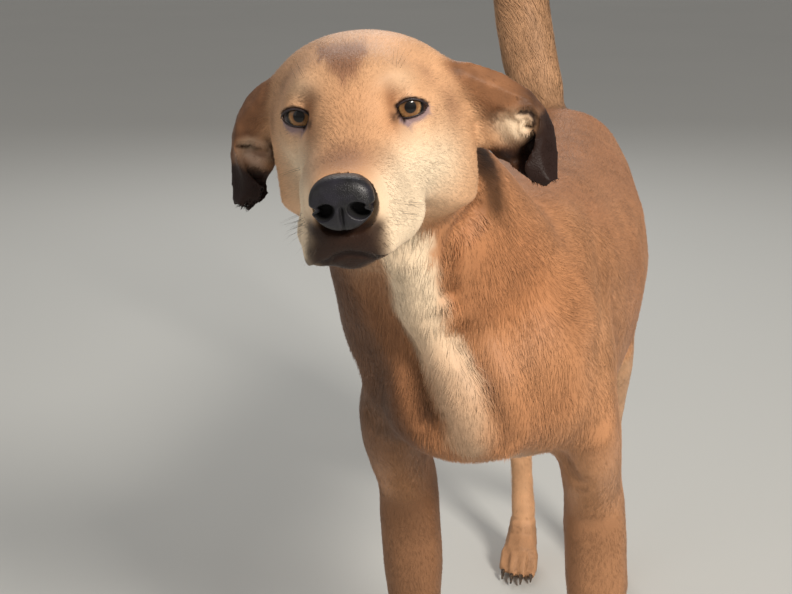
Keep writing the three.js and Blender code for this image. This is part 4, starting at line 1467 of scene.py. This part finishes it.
@dataclass
class Coat:
    """The tufts: thin solid spikes that lie along the body, in pieces of modest size."""

    anatomy: Anatomy
    skin: Skin
    masks: dict[str, Array]
    flow: Array
    map_points: Array  # the skin's unwrap, one place for each corner of its triangles
    finish: bpy.types.Material
    limit: int = 190_000  # triangles in one piece
    long_from: float = 13  # tufts over this mean length, in millimetres, have a middle section
    sunk: float = 0.3  # how deep a root lies in the skin, in millimetres
    ridge: float = 0.13  # the height of a section over its width
    spread: float = 0.0015  # half the side of a tuft's own patch on the map
    corners: tuple = (4, 7)  # of a short and of a long tuft
    stand: tuple = (1.0, 2.2)  # how far each may stand off a rounded form, in millimetres

    SLOTS = {Region.HEAD: "coat_face", Region.EAR: "coat_dark", Region.TAIL: "coat_tan",
             Region.FORELEG: "coat_tan", Region.HINDLEG: "coat_tan", Region.PAW: "coat_tan"}

    def build(self) -> None:
        """Scatters the roots, shapes the tufts of each region and makes the pieces."""
        rng = np.random.default_rng(SEED)
        coat, owner = self.rooted(rng)
        coat["tone"] = self.tone(coat, rng)
        for region in Region:
            mine = np.flatnonzero(owner == region.index)
            mine = mine[np.argsort(coat["root"][mine] @ np.array([0.3, 1.0, 0.5]))]
            long = len(mine) > 0 and bool(coat["plain_length"][mine].mean() > self.long_from)
            room = self.limit // len(self.spike_faces(self.corners[long]))
            for number, start in enumerate(range(0, len(mine), room)):
                rows = mine[start : start + room]
                tufts = {key: values[rows] for key, values in coat.items()}
                self.piece(f"coat_{region.name.lower()}_{number + 1}", tufts, long, rng)
            LOG.info("%s: %d tufts", region.name, len(mine))

    def rooted(self, rng: np.random.Generator) -> tuple[dict[str, Array], Array]:
        """Scatters roots over the skin in the density that each region's coat asks for: evenly spaced
        steps along the running sum of area times density, each with a random part of a step.

        Args:
            rng: the coat's random draws.

        Returns:
            What is known at each root, by name, and the index of the region that owns it.
        """
        points, faces, table = self.skin.shape.points, self.skin.shape.faces, self.skin.regions
        normals = self.skin.shape.normals()
        bend = self.bend(Net(faces, len(points)), points, normals)
        corner = points[faces]
        area = np.linalg.norm(np.cross(corner[:, 1] - corner[:, 0], corner[:, 2] - corner[:, 0]), axis=1) / 2
        hair = self.bare(points) * (1 - table[:, Region.EAR.index] * ease(100, 240, bend))
        share = (table @ np.array([PELTS[r].share for r in Region]))[faces].mean(1) * hair[faces].min(1)
        ends = np.cumsum(area * 1e4 * share)
        count = int(ends[-1])
        picks = np.searchsorted(ends, (np.arange(count) + rng.random(count)) * ends[-1] / count)
        picks = np.minimum(picks, len(faces) - 1)
        root, turn = np.sqrt(rng.random(count)), rng.random(count)
        shares = np.column_stack([1 - root, root * (1 - turn), root * turn])
        at = faces[picks]

        def blend(values: Array) -> Array:
            """The values at the roots, from the three corners around each."""
            return np.einsum("nk,nkc->nc", shares, values[at])

        weights = blend(table)
        numbers = weights @ np.array([[p.length, p.width, p.lift] for p in (PELTS[r] for r in Region)])
        coat = {
            "root": blend(points),
            "normal": unit(blend(normals)),
            "way": blend(self.flow),
            "bend": blend(bend[:, None])[:, 0],
            "masks": blend(np.column_stack(list(self.masks.values()))),
            "uv": np.einsum("nk,nkc->nc", shares, self.map_points[picks]),
            "plain_length": numbers[:, 0],
            "numbers": numbers * blend(self.local_size(points)),
        }
        return coat, weights.argmax(1)

    def bare(self, points: Array) -> Array:
        """0 where no hair grows, such as inside the eyelids and under the soles, and 1 elsewhere.

        Args:
            points: the skin's points.

        Returns:
            The share of hair at each.
        """
        hair = ease(3.5 * MM, 7 * MM, points[:, 2])
        for side in (1, -1):
            outside, far, rise = Face.opening(EyeFrame(side).place(self.anatomy.head), points)
            thin_skin = ease(5.6, 3.6, outside) * ease(2, -1, rise)
            hair = hair * np.where(far < 30, ease(0.8, 2.0, outside) * (1 - 0.85 * thin_skin), 1)
        forward, left, up = self.anatomy.head.into(points).T
        nose = np.hypot(left, (up + 37) * 1.1)
        return hair * np.where((forward > 72) & (nose < 21), 0, 1)

    def local_size(self, points: Array) -> Array:
        """Factors for length, width and lift: small round the mouth and eyes, long on the blaze.

        Args:
            points: the skin's points.

        Returns:
            Three factors for each.
        """
        head = self.anatomy.head.into(points)
        folded = mirrored(head)
        mouth = bell(folded, (78, 8, -62), (22, 20, 16)) + ease(9, 5, line_distance(folded, Face.LIP_LINE))
        eyes = bell(folded, (4, 32, 0), 22)
        small = 1 - 0.55 * np.clip(mouth, 0, 1) - 0.35 * eyes
        # longer hair on the cream stripe, whose mask also holds painted light
        blaze_and_painted_light = self.masks["cream"] * self.skin.regions[:, [Region.NECK.index, Region.TRUNK.index]].sum(1)
        fluff = self.skin.regions[:, Region.EAR.index] * bell(folded, (-48, 74, 2), (14, 16, 16))
        long = small * (1 + 0.5 * blaze_and_painted_light + 1.1 * fluff)
        return np.column_stack([long, 0.5 + 0.5 * small, small * (1 + 0.5 * blaze_and_painted_light + 0.8 * fluff)])

    @staticmethod
    def bend(net: Net, points: Array, normals: Array) -> Array:
        """How fast the surface turns, in 1/metres: the mean over the edges of dn·dp / |dp|², smoothed.

        Args:
            net: the skin's points and edges.
            points: the points.
            normals: their normals.

        Returns:
            The rate at each point, above zero where the form is round.
        """
        step = points[net.end] - points[net.start]
        turn = ((normals[net.end] - normals[net.start]) * step).sum(1) / np.maximum((step**2).sum(1), 1e-12)
        total = np.bincount(net.start, turn, net.count) + np.bincount(net.end, turn, net.count)
        return net.relax((total / np.maximum(net.degree[:, 0], 1))[:, None], 0.9, 6)[:, 0]

    def tone(self, coat: dict[str, Array], rng: np.random.Generator) -> Array:
        """Light and dark of each tuft: streaks drawn out along the hair, and a little of its own.

        Args:
            coat: what is known at each root, by name.
            rng: the coat's random draws.

        Returns:
            A number from 0 to 1 for each tuft.
        """
        grain = Grain(SEED + 1)
        place = coat["root"] / MM
        along = (place * coat["way"]).sum(1, keepdims=True)
        streak = grain.at(place - coat["way"] * along * 0.7, 3.5)
        lump = grain.at(place, 16)
        own = rng.standard_normal(len(place))
        return np.clip(0.5 + 0.08 * streak + 0.06 * lump + 0.12 * own, 0, 1)

    def piece(self, name: str, coat: dict[str, Array], long: bool,
              rng: np.random.Generator) -> None:
        """One mesh of tufts. Each has a flat three-sided section at its root (and at its middle where it
        is long) and closes in a point; its tip follows the surface as that curves away.

        Args:
            name: the piece's name.
            coat: what is known at each of its roots, by name.
            long: whether its tufts have a second section.
            rng: the coat's random draws.
        """
        count = len(coat["root"])
        length, width, lift = coat["numbers"].T.copy()
        length *= rng.uniform(0.75, 1.2, count)
        width *= rng.uniform(0.7, 1.25, count)
        lift *= rng.uniform(0.5, 1.3, count)
        turn = np.clip(coat["bend"] * MM, -0.12, 0.25)
        length = np.minimum(length, np.sqrt(2 * self.stand[long] / np.maximum(np.abs(turn), 1e-4)))
        normal = coat["normal"]
        angle = 0.16 * rng.standard_normal(count) + 0.22 * Grain(SEED + 2).at(coat["root"] / MM, 28)
        side = np.cross(normal, coat["way"])
        way = unit(coat["way"] * np.cos(angle)[:, None] + side * np.sin(angle)[:, None])
        side = np.cross(normal, way)

        def station(t: float, height: Array) -> Array:
            """A point t of the way along the tufts, at a height over the curved surface."""
            drop = turn * (length * t) ** 2 / 2
            return coat["root"] + (way * (length * t)[:, None] + normal * (height - drop)[:, None]) * MM

        def section(t: float, height: Array, scale: float) -> list[Array]:
            """The corners of a section across the tufts.

            Args:
                t: how far along the tufts it is, 0 to 1.
                height: its middle's height over the surface, in millimetres.
                scale: its width, as a share of the tuft's.

            Returns:
                Three corners: two at the sides and one on the ridge.
            """
            middle = station(t, height)
            half = side * (width * scale / 2 * MM)[:, None]
            rise = normal * (width * scale * self.ridge * MM)[:, None]
            return [middle - half, middle + half, middle + rise]

        sunk = np.full(count, -self.sunk)
        if long:
            corners = section(0, sunk, 0.7) + section(0.5, lift * 0.6, 1.0)
            reach = (0.0, 0.0, 0.1, 0.5, 0.5, 0.6, 1.0)
        else:
            corners = section(0, sunk, 1.0)
            reach = (0.0, 0.0, 0.15, 1.0)
        corners.append(station(1.0, lift))
        each = len(corners)
        faces = (np.arange(count)[:, None, None] * each + self.spike_faces(each)).reshape(-1, 3)
        obj = Shape(np.stack(corners, 1).reshape(-1, 3), faces).to_object(name)
        over = np.where(np.arange(each) == each - 1, 0.0, 1.0)
        tilt = np.stack([-side, side, normal] * (each // 3) + [normal], 1)
        facing = unit(normal[:, None] + tilt * 0.25 * over[None, :, None] + way[:, None] * 0.12)
        self.paint(obj.data, coat, facing, reach)
        spot = np.array([[-1, -1], [1, -1], [0, -1], [-1, 0], [1, 0], [0, 0], [0, 1]])
        spot = spot if long else spot[[0, 1, 2, 6]]
        unwrap = (coat["uv"][:, None] + spot[None] * self.spread).reshape(-1, 2)[faces.ravel()]
        obj.data.uv_layers.new(name="OFBake").data.foreach_set("uv", unwrap.astype(np.float32).ravel())
        dress(obj, self.finish)

    @staticmethod
    def paint(mesh: bpy.types.Mesh, coat: dict[str, Array], facing: Array, reach: tuple) -> None:
        """Stores the tufts' shading normals, colours and light on their points.

        Args:
            mesh: the piece's mesh.
            coat: what is known at each root, by name.
            facing: the shading normals, one for each corner of each tuft.
            reach: how far along the tuft each corner is, 0 to 1.
        """
        mesh.attributes.new("custom_normal", "FLOAT_VECTOR", "POINT").data.foreach_set(
            "vector", facing.astype(np.float32).ravel())
        repeat = np.repeat(coat["masks"], len(reach), 0)
        store_colour(mesh, "pelt", repeat[:, :3])
        store_colour(mesh, "shade", repeat[:, 3:])
        tone = np.repeat(coat["tone"], len(reach))
        store_colour(mesh, "strand", np.column_stack([tone, np.tile(reach, len(coat["tone"]))]))

    @staticmethod
    def spike_faces(each: int) -> Array:
        """The triangles of one tuft with its corners in threes and its tip last, facing outwards.

        Args:
            each: how many corners a tuft has.

        Returns:
            Its triangles, 4 for a short and 10 for a long one.
        """
        cap = [(0, 2, 1)]
        sides = []
        for ring in range(each // 3 - 1):
            for k in range(3):
                a, b = ring * 3 + k, ring * 3 + (k + 1) % 3
                sides += [(a, b, a + 3), (b, b + 3, a + 3)]
        last = each - 4
        sides += [(last + k, last + (k + 1) % 3, each - 1) for k in range(3)]
        return np.array(cap + sides)


@dataclass
class EyeBall:
    """The ball of one eye, with its cornea and a polar map for the iris."""

    side: int
    radius: float = 12.5
    rows: int = 40
    around: int = 64
    swell: float = 0.055  # the cornea's rise, as a share of the radius
    reach: float = 0.62  # the cornea ends this share of a right angle from the pole

    def build(self, anatomy: Anatomy) -> bpy.types.Object:
        """A ball with its pole on the gaze; the cornea swells by a squared cosine near it.

        Args:
            anatomy: the guide.

        Returns:
            The piece.
        """
        place = EyeFrame(self.side).looking(anatomy.head)
        shape = ball(np.zeros(3), 1.0, self.around, self.rows)
        off_axis = np.arccos(np.clip(shape.points[:, 2], -1, 1))
        swell = 1 + self.swell * np.cos(np.clip(off_axis / self.reach, 0, math.pi / 2)) ** 2
        polar = shape.points[:, :2]
        shape.points = place.out(shape.points * self.radius * swell[:, None])
        obj = shape.to_object("eyeball_left" if self.side > 0 else "eyeball_right")
        loops = np.empty(len(obj.data.loops), np.int32)
        obj.data.loops.foreach_get("vertex_index", loops)
        iris = obj.data.uv_layers.new(name="iris")
        iris.data.foreach_set("uv", polar[loops].astype(np.float32).ravel())
        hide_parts("eye_left" if self.side > 0 else "eye_right")
        return dress(obj, EyeFinish().material())


def swept(path: Array, normals: Array, half: Array, tall: Array, around: int = 10) -> Shape:
    """A tube with an oval section along a path: the section's width lies across the normal, and its
    height along it. The tube ends in points.

    Args:
        path: the places along the middle.
        normals: the way up at each of them.
        half: half the width at each of them, in metres.
        tall: half the height at each of them, in metres.
        around: how many points a section has.

    Returns:
        The closed tube.
    """
    along = np.roll(path, -1, 0) - np.roll(path, 1, 0)
    along[0], along[-1] = path[1] - path[0], path[-1] - path[-2]
    across = unit(np.cross(unit(along), normals))
    turn = np.arange(around) * 2 * math.pi / around
    section = (
        path[:, None]
        + across[:, None] * (half[:, None] * np.cos(turn))[..., None]
        + normals[:, None] * (tall[:, None] * np.sin(turn))[..., None]
    )
    points = np.concatenate([section.reshape(-1, 3), path[:1], path[-1:]])
    return Shape(points, tube_faces(len(path), around))


@dataclass
class LidRim:
    """The dark bare edge of the lids round one eye."""

    side: int
    count: int = 96
    over: tuple = (14.15, 13.5)  # how far the upper and the lower strip lie from the ball's centre
    wide: tuple = (0.62, 0.4)  # their half widths, in millimetres
    finish: LeatherFinish = LeatherFinish("lid", black=srgb(30, 20, 22), worn=srgb(52, 38, 42), grain=2600,
                                          depth=0.0001, roughness=0.42)

    def build(self, anatomy: Anatomy) -> bpy.types.Object:
        """Two strips that follow the almond's edges over the ball and close in points at the corners:
        (sin a cos b, sin b, cos a cos b), with a across and b up the ball.

        Args:
            anatomy: the guide.

        Returns:
            The piece.
        """
        place, almond = EyeFrame(self.side).place(anatomy.head), Almond()
        u = -np.cos(np.linspace(0, math.pi, self.count))
        across = almond.middle + (almond.half + 0.5) * u
        strips = []
        for up, over, wide in zip(almond.edges(across), self.over, self.wide):
            a, b = across / almond.ball, up / almond.ball
            way = np.column_stack([np.sin(a) * np.cos(b), np.sin(b), np.cos(a) * np.cos(b)])
            thick = wide * MM * (0.35 + 0.65 * (1 - u * u) ** 0.6)
            strips.append(swept(place.out(way * over), place.turn_out(way), thick, thick * 0.9))
        obj = Shape.joined(strips).to_object("lid_rim_left" if self.side > 0 else "lid_rim_right")
        return dress(obj, self.finish.material())


@dataclass
class NoseLeather:
    """The bare nose: a rounded block with comma nostrils and a groove down its middle. Sizes are in
    millimetres in the head's frame."""

    rings: int = 90
    around: int = 128
    front: float = 99.5
    root: float = 75.0
    deep: float = 24.0  # from the front to the last ring
    level: float = -36.5  # of its middle
    half: float = 17.2
    above: float = 12.6
    below: float = 14.6
    power: float = 2.5  # of the superellipse
    nostril: tuple = (9.2, -40.4)  # aside and up
    bowl: float = 9.5  # how deep a nostril goes
    groove: float = 1.8  # how deep the middle groove goes
    finish: LeatherFinish = LeatherFinish("nose", grain=1300, depth=0.00016, roughness=0.42)

    def build(self, anatomy: Anatomy) -> bpy.types.Object:
        """Rings from the front to the root: a superellipse, r = (|cos|^p + |sin|^p)^(-1/p), whose size
        and middle change with depth.

        Args:
            anatomy: the guide.

        Returns:
            The piece.
        """
        t = np.linspace(0, 1, self.rings)[1:, None]
        turn = np.arange(self.around)[None, :] * 2 * math.pi / self.around
        c, s = np.cos(turn), np.sin(turn)
        grow = np.clip(1 - (1 - np.clip(t / 0.52, 0, 1)) ** 2.6, 0, 1) ** 0.62
        taper = 1 - 0.1 * ease(0.55, 1.0, t)
        radius = (np.abs(c) ** self.power + np.abs(s) ** self.power) ** (-1 / self.power) * grow * taper
        forward = self.front - self.deep * t**1.5 + 0 * turn
        left = self.half * radius * c * (1 - 0.22 * ease(0.1, 1.0, -s) * grow)
        up = self.level + np.where(s > 0, self.above, self.below) * radius * s + 2.5 * t * ease(0, 1, s)
        rings = np.stack([forward, left, up], -1).reshape(-1, 3)
        plain = np.concatenate([rings, [[self.front, 0, self.level]], [[self.root, 0, self.level]]])
        points = self.carved(plain)
        shape = Shape(anatomy.head.out(points), tube_faces(self.rings - 1, self.around)[:, ::-1])
        obj = shape.to_object("nose_leather")
        # how deep each point is sunk: the share of painted shade and dullness in the nostrils
        store_colour(obj.data, "hollow", ease(0.6, 4.0, plain[:, :1] - points[:, :1]))
        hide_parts("nose")
        return dress(obj, self.finish.material())

    def carved(self, points: Array) -> Array:
        """Sinks the nostrils, each a bowl with a slit that runs outwards, and the middle groove.

        Args:
            points: the plain nose's points.

        Returns:
            The points, moved.
        """
        forward, left, up = points.T
        side = np.abs(left)
        aside, level = self.nostril
        bowl = np.hypot((side - aside) * 0.76, (up - level + 0.2 * (side - aside)) * 0.95)
        sunk = forward - self.bowl * (1 - ease(2.4, 4.9, bowl)) * ease(76, 88, forward)
        slit = np.abs(up + 40.0 - 0.12 * (side - 9))
        inward = 2.6 * (1 - ease(0.4, 2.4, slit)) * ease(10.5, 15, side) * ease(80, 87, forward)
        groove = self.groove * np.exp(-((left / 1.1) ** 2)) * ease(-34, -40, up) * ease(84, 92, forward)
        return np.column_stack([sunk - groove, np.sign(left) * (side - inward), up])


@dataclass
class Whiskers:
    """Fine stiff hairs on the muzzle, the brows and the cheeks."""

    pads: tuple = (  # a middle and spread in the head's frame, the way they point, how many, how long
        ((64, 25, -50), (15, 5, 8), (-0.65, 0.6, -0.3), 17, 17),
        ((80, 16, -60), (6, 6, 4), (0.1, 0.6, -0.75), 7, 12),
        ((2, 27, 22), (4, 5, 2), (0.45, 0.25, 0.85), 4, 20),
        ((8, 44, -34), (4, 3, 4), (-0.4, 0.85, -0.3), 2, 20),
    )
    root_half: float = 0.09  # of a hair's thickness, in millimetres
    steps: int = 8
    droop: float = 0.12  # of its length

    def build(self, anatomy: Anatomy, skin: Skin) -> bpy.types.Object:
        """Each hair leaves the skin and droops in a parabola: root + way t + drop t².

        Args:
            anatomy: the guide.
            skin: the skin that they stand on.

        Returns:
            The piece.
        """
        rng = np.random.default_rng(SEED + 4)
        tree = BVHTree.FromPolygons(skin.shape.points.tolist(), skin.shape.faces.tolist())
        hairs = []
        for side in (1, -1):
            for middle, spread, way, count, long in self.pads:
                for _ in range(count):
                    spot = (np.array(middle) + rng.normal(0, 0.6, 3) * spread) * (1, side, 1)
                    root, normal = (np.array(v) for v in tree.find_nearest(anatomy.head.out(spot))[:2])
                    aim = anatomy.head.turn_out(unit(np.array(way) * (1, side, 1) + rng.normal(0, 0.16, 3)))
                    size = long * rng.uniform(0.6, 1.1)
                    hairs.append(self.hair(root - normal * MM, unit(aim + 0.35 * normal), size))
        obj = Shape.joined(hairs).to_object("whiskers")
        return dress(obj, HornFinish().material())

    def hair(self, root: Array, way: Array, long: float) -> Shape:
        """One hair: a thin tube that narrows to a point.

        Args:
            root: where it leaves the skin.
            way: the way it points.
            long: its length, in millimetres.

        Returns:
            The tube.
        """
        t = np.linspace(0, 1, self.steps)[:, None]
        path = root + way * long * MM * t - np.array([0, 0, 1.0]) * self.droop * long * MM * t**2
        across = unit(np.cross(way, [0.3, 0.2, 0.9]))
        half = self.root_half * MM * (1 - 0.92 * t[:, 0])
        return swept(path, np.tile(across, (self.steps, 1)), half, half, 4)


def unwrapped(obj: bpy.types.Object) -> Array:
    """Unwraps the skin and returns the place of each triangle's corners on the map.

    Args:
        obj: the skin's piece.

    Returns:
        The places, three for each triangle.
    """
    obj.data.uv_layers.new(name="OFBake")
    bpy.context.view_layer.objects.active = obj
    obj.select_set(True)
    bpy.ops.object.mode_set(mode="EDIT")
    bpy.ops.mesh.select_all(action="SELECT")
    bpy.ops.uv.smart_project(angle_limit=math.radians(70), island_margin=0.002)
    bpy.ops.object.mode_set(mode="OBJECT")
    corners = np.empty(len(obj.data.loops) * 2, np.float32)
    obj.data.uv_layers["OFBake"].data.foreach_get("uv", corners)
    return corners.reshape(-1, 3, 2).astype(float)


@dataclass
class Claws:
    """The claws, which are the CAD nodes themselves."""

    nodes: dict[str, bpy.types.Object]
    finish: HornFinish = HornFinish()

    def build(self) -> None:
        """Gives every claw the horn."""
        horn = self.finish.material()
        claws = [node for name, node in self.nodes.items() if "claw" in name]
        for node in claws:
            node.data.materials.clear()
            node.data.materials.append(horn)
        LOG.info("claws: %d nodes", len(claws))


@dataclass(frozen=True)
class Lamp:
    """A soft square light that faces a point. Lengths are in metres."""

    name: str
    at: tuple
    towards: tuple
    size: float
    power: float  # in watts
    colour: tuple

    def build(self) -> None:
        """Hangs the light and turns its own downward axis to the point."""
        data = bpy.data.lights.new(self.name, "AREA")
        data.size, data.energy, data.color = self.size, self.power, self.colour
        obj = bpy.data.objects.new(self.name, data)
        obj.location = self.at
        way = np.array(self.towards) - np.array(self.at)
        tilt = math.atan2(math.hypot(way[0], way[1]), -way[2])
        obj.rotation_euler = (tilt, 0, math.atan2(way[0], -way[1]) + math.pi)
        bpy.context.scene.collection.objects.link(obj)


@dataclass
class Studio:
    """The floor, the lights, the sky and the camera."""

    floor: tuple = ((-20, -12, 0), (20, -12, 0), (20, 40, 0), (-20, 40, 0))  # its corners, in metres
    lamps: tuple = (
        Lamp("key", (1.75, -1.75, 2.2), (0, -0.1, 0.55), 0.7, 84, (1.0, 0.93, 0.84)),
        Lamp("fill", (-2.2, -2.0, 1.6), (0, 0, 0.45), 2.2, 9, (1.0, 0.96, 0.92)),
        Lamp("rim", (-0.6, 2.4, 2.2), (0, 0, 0.6), 1.2, 22, (1.0, 0.98, 0.95)),
    )
    sky: tuple = (1.0, 0.95, 0.9, 1)
    sky_strength: float = 0.3
    lens: float = 54.09  # in millimetres
    sensor: float = 36  # its width, in millimetres
    camera_place: tuple = (98.6, -908.3, 770)  # in the body's frame, in millimetres
    camera_tilt: float = 72.7  # up from straight down, in degrees
    camera_turn: float = 12.2  # to the left, in degrees

    def build(self, body: Place) -> None:
        """A wide pale floor, a warm key from the camera's right, a weak broad fill from its left, a rim
        light from behind, an even sky and the camera.

        Args:
            body: the body's frame.
        """
        floor = Shape(np.array(self.floor, float), np.array([[0, 1, 2, 3]])).to_object("studio_floor", False)
        floor.data.materials.append(FloorFinish().material())
        for lamp in self.lamps:
            lamp.build()
        scene = bpy.context.scene
        scene.world = bpy.data.worlds.new("world")
        scene.world.use_nodes = True
        background = scene.world.node_tree.nodes["Background"].inputs
        background["Color"].default_value = self.sky
        background["Strength"].default_value = self.sky_strength
        scene.view_settings.view_transform = "Standard"
        camera = bpy.data.cameras.new("camera")
        camera.lens, camera.sensor_width = self.lens, self.sensor
        holder = bpy.data.objects.new("camera", camera)
        holder.location = body.out(self.camera_place)
        holder.rotation_euler = (math.radians(self.camera_tilt), 0, math.radians(self.camera_turn))
        scene.collection.objects.link(holder)
        scene.camera = holder
        LOG.info("studio: floor, %d lights and camera", len(self.lamps))


def main() -> None:
    """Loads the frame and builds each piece."""
    logging.basicConfig(level=logging.INFO)
    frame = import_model()
    anatomy = Anatomy(frame["nodes"])
    Studio().build(anatomy.body)
    skin = Skin(anatomy).build()
    finish = CoatFinish().material()
    masks, map_points = skin.dressed(finish)
    flow = Lie(anatomy).flow(skin.shape.points, skin.shape.normals(), skin.regions)
    Coat(anatomy, skin, masks, flow, map_points, finish).build()
    for side in (1, -1):
        EyeBall(side).build(anatomy)
        LidRim(side).build(anatomy)
    NoseLeather().build(anatomy)
    Whiskers().build(anatomy, skin)
    Claws(frame["nodes"]).build()
    LOG.info("done")


if __name__ == "__main__":
    main()
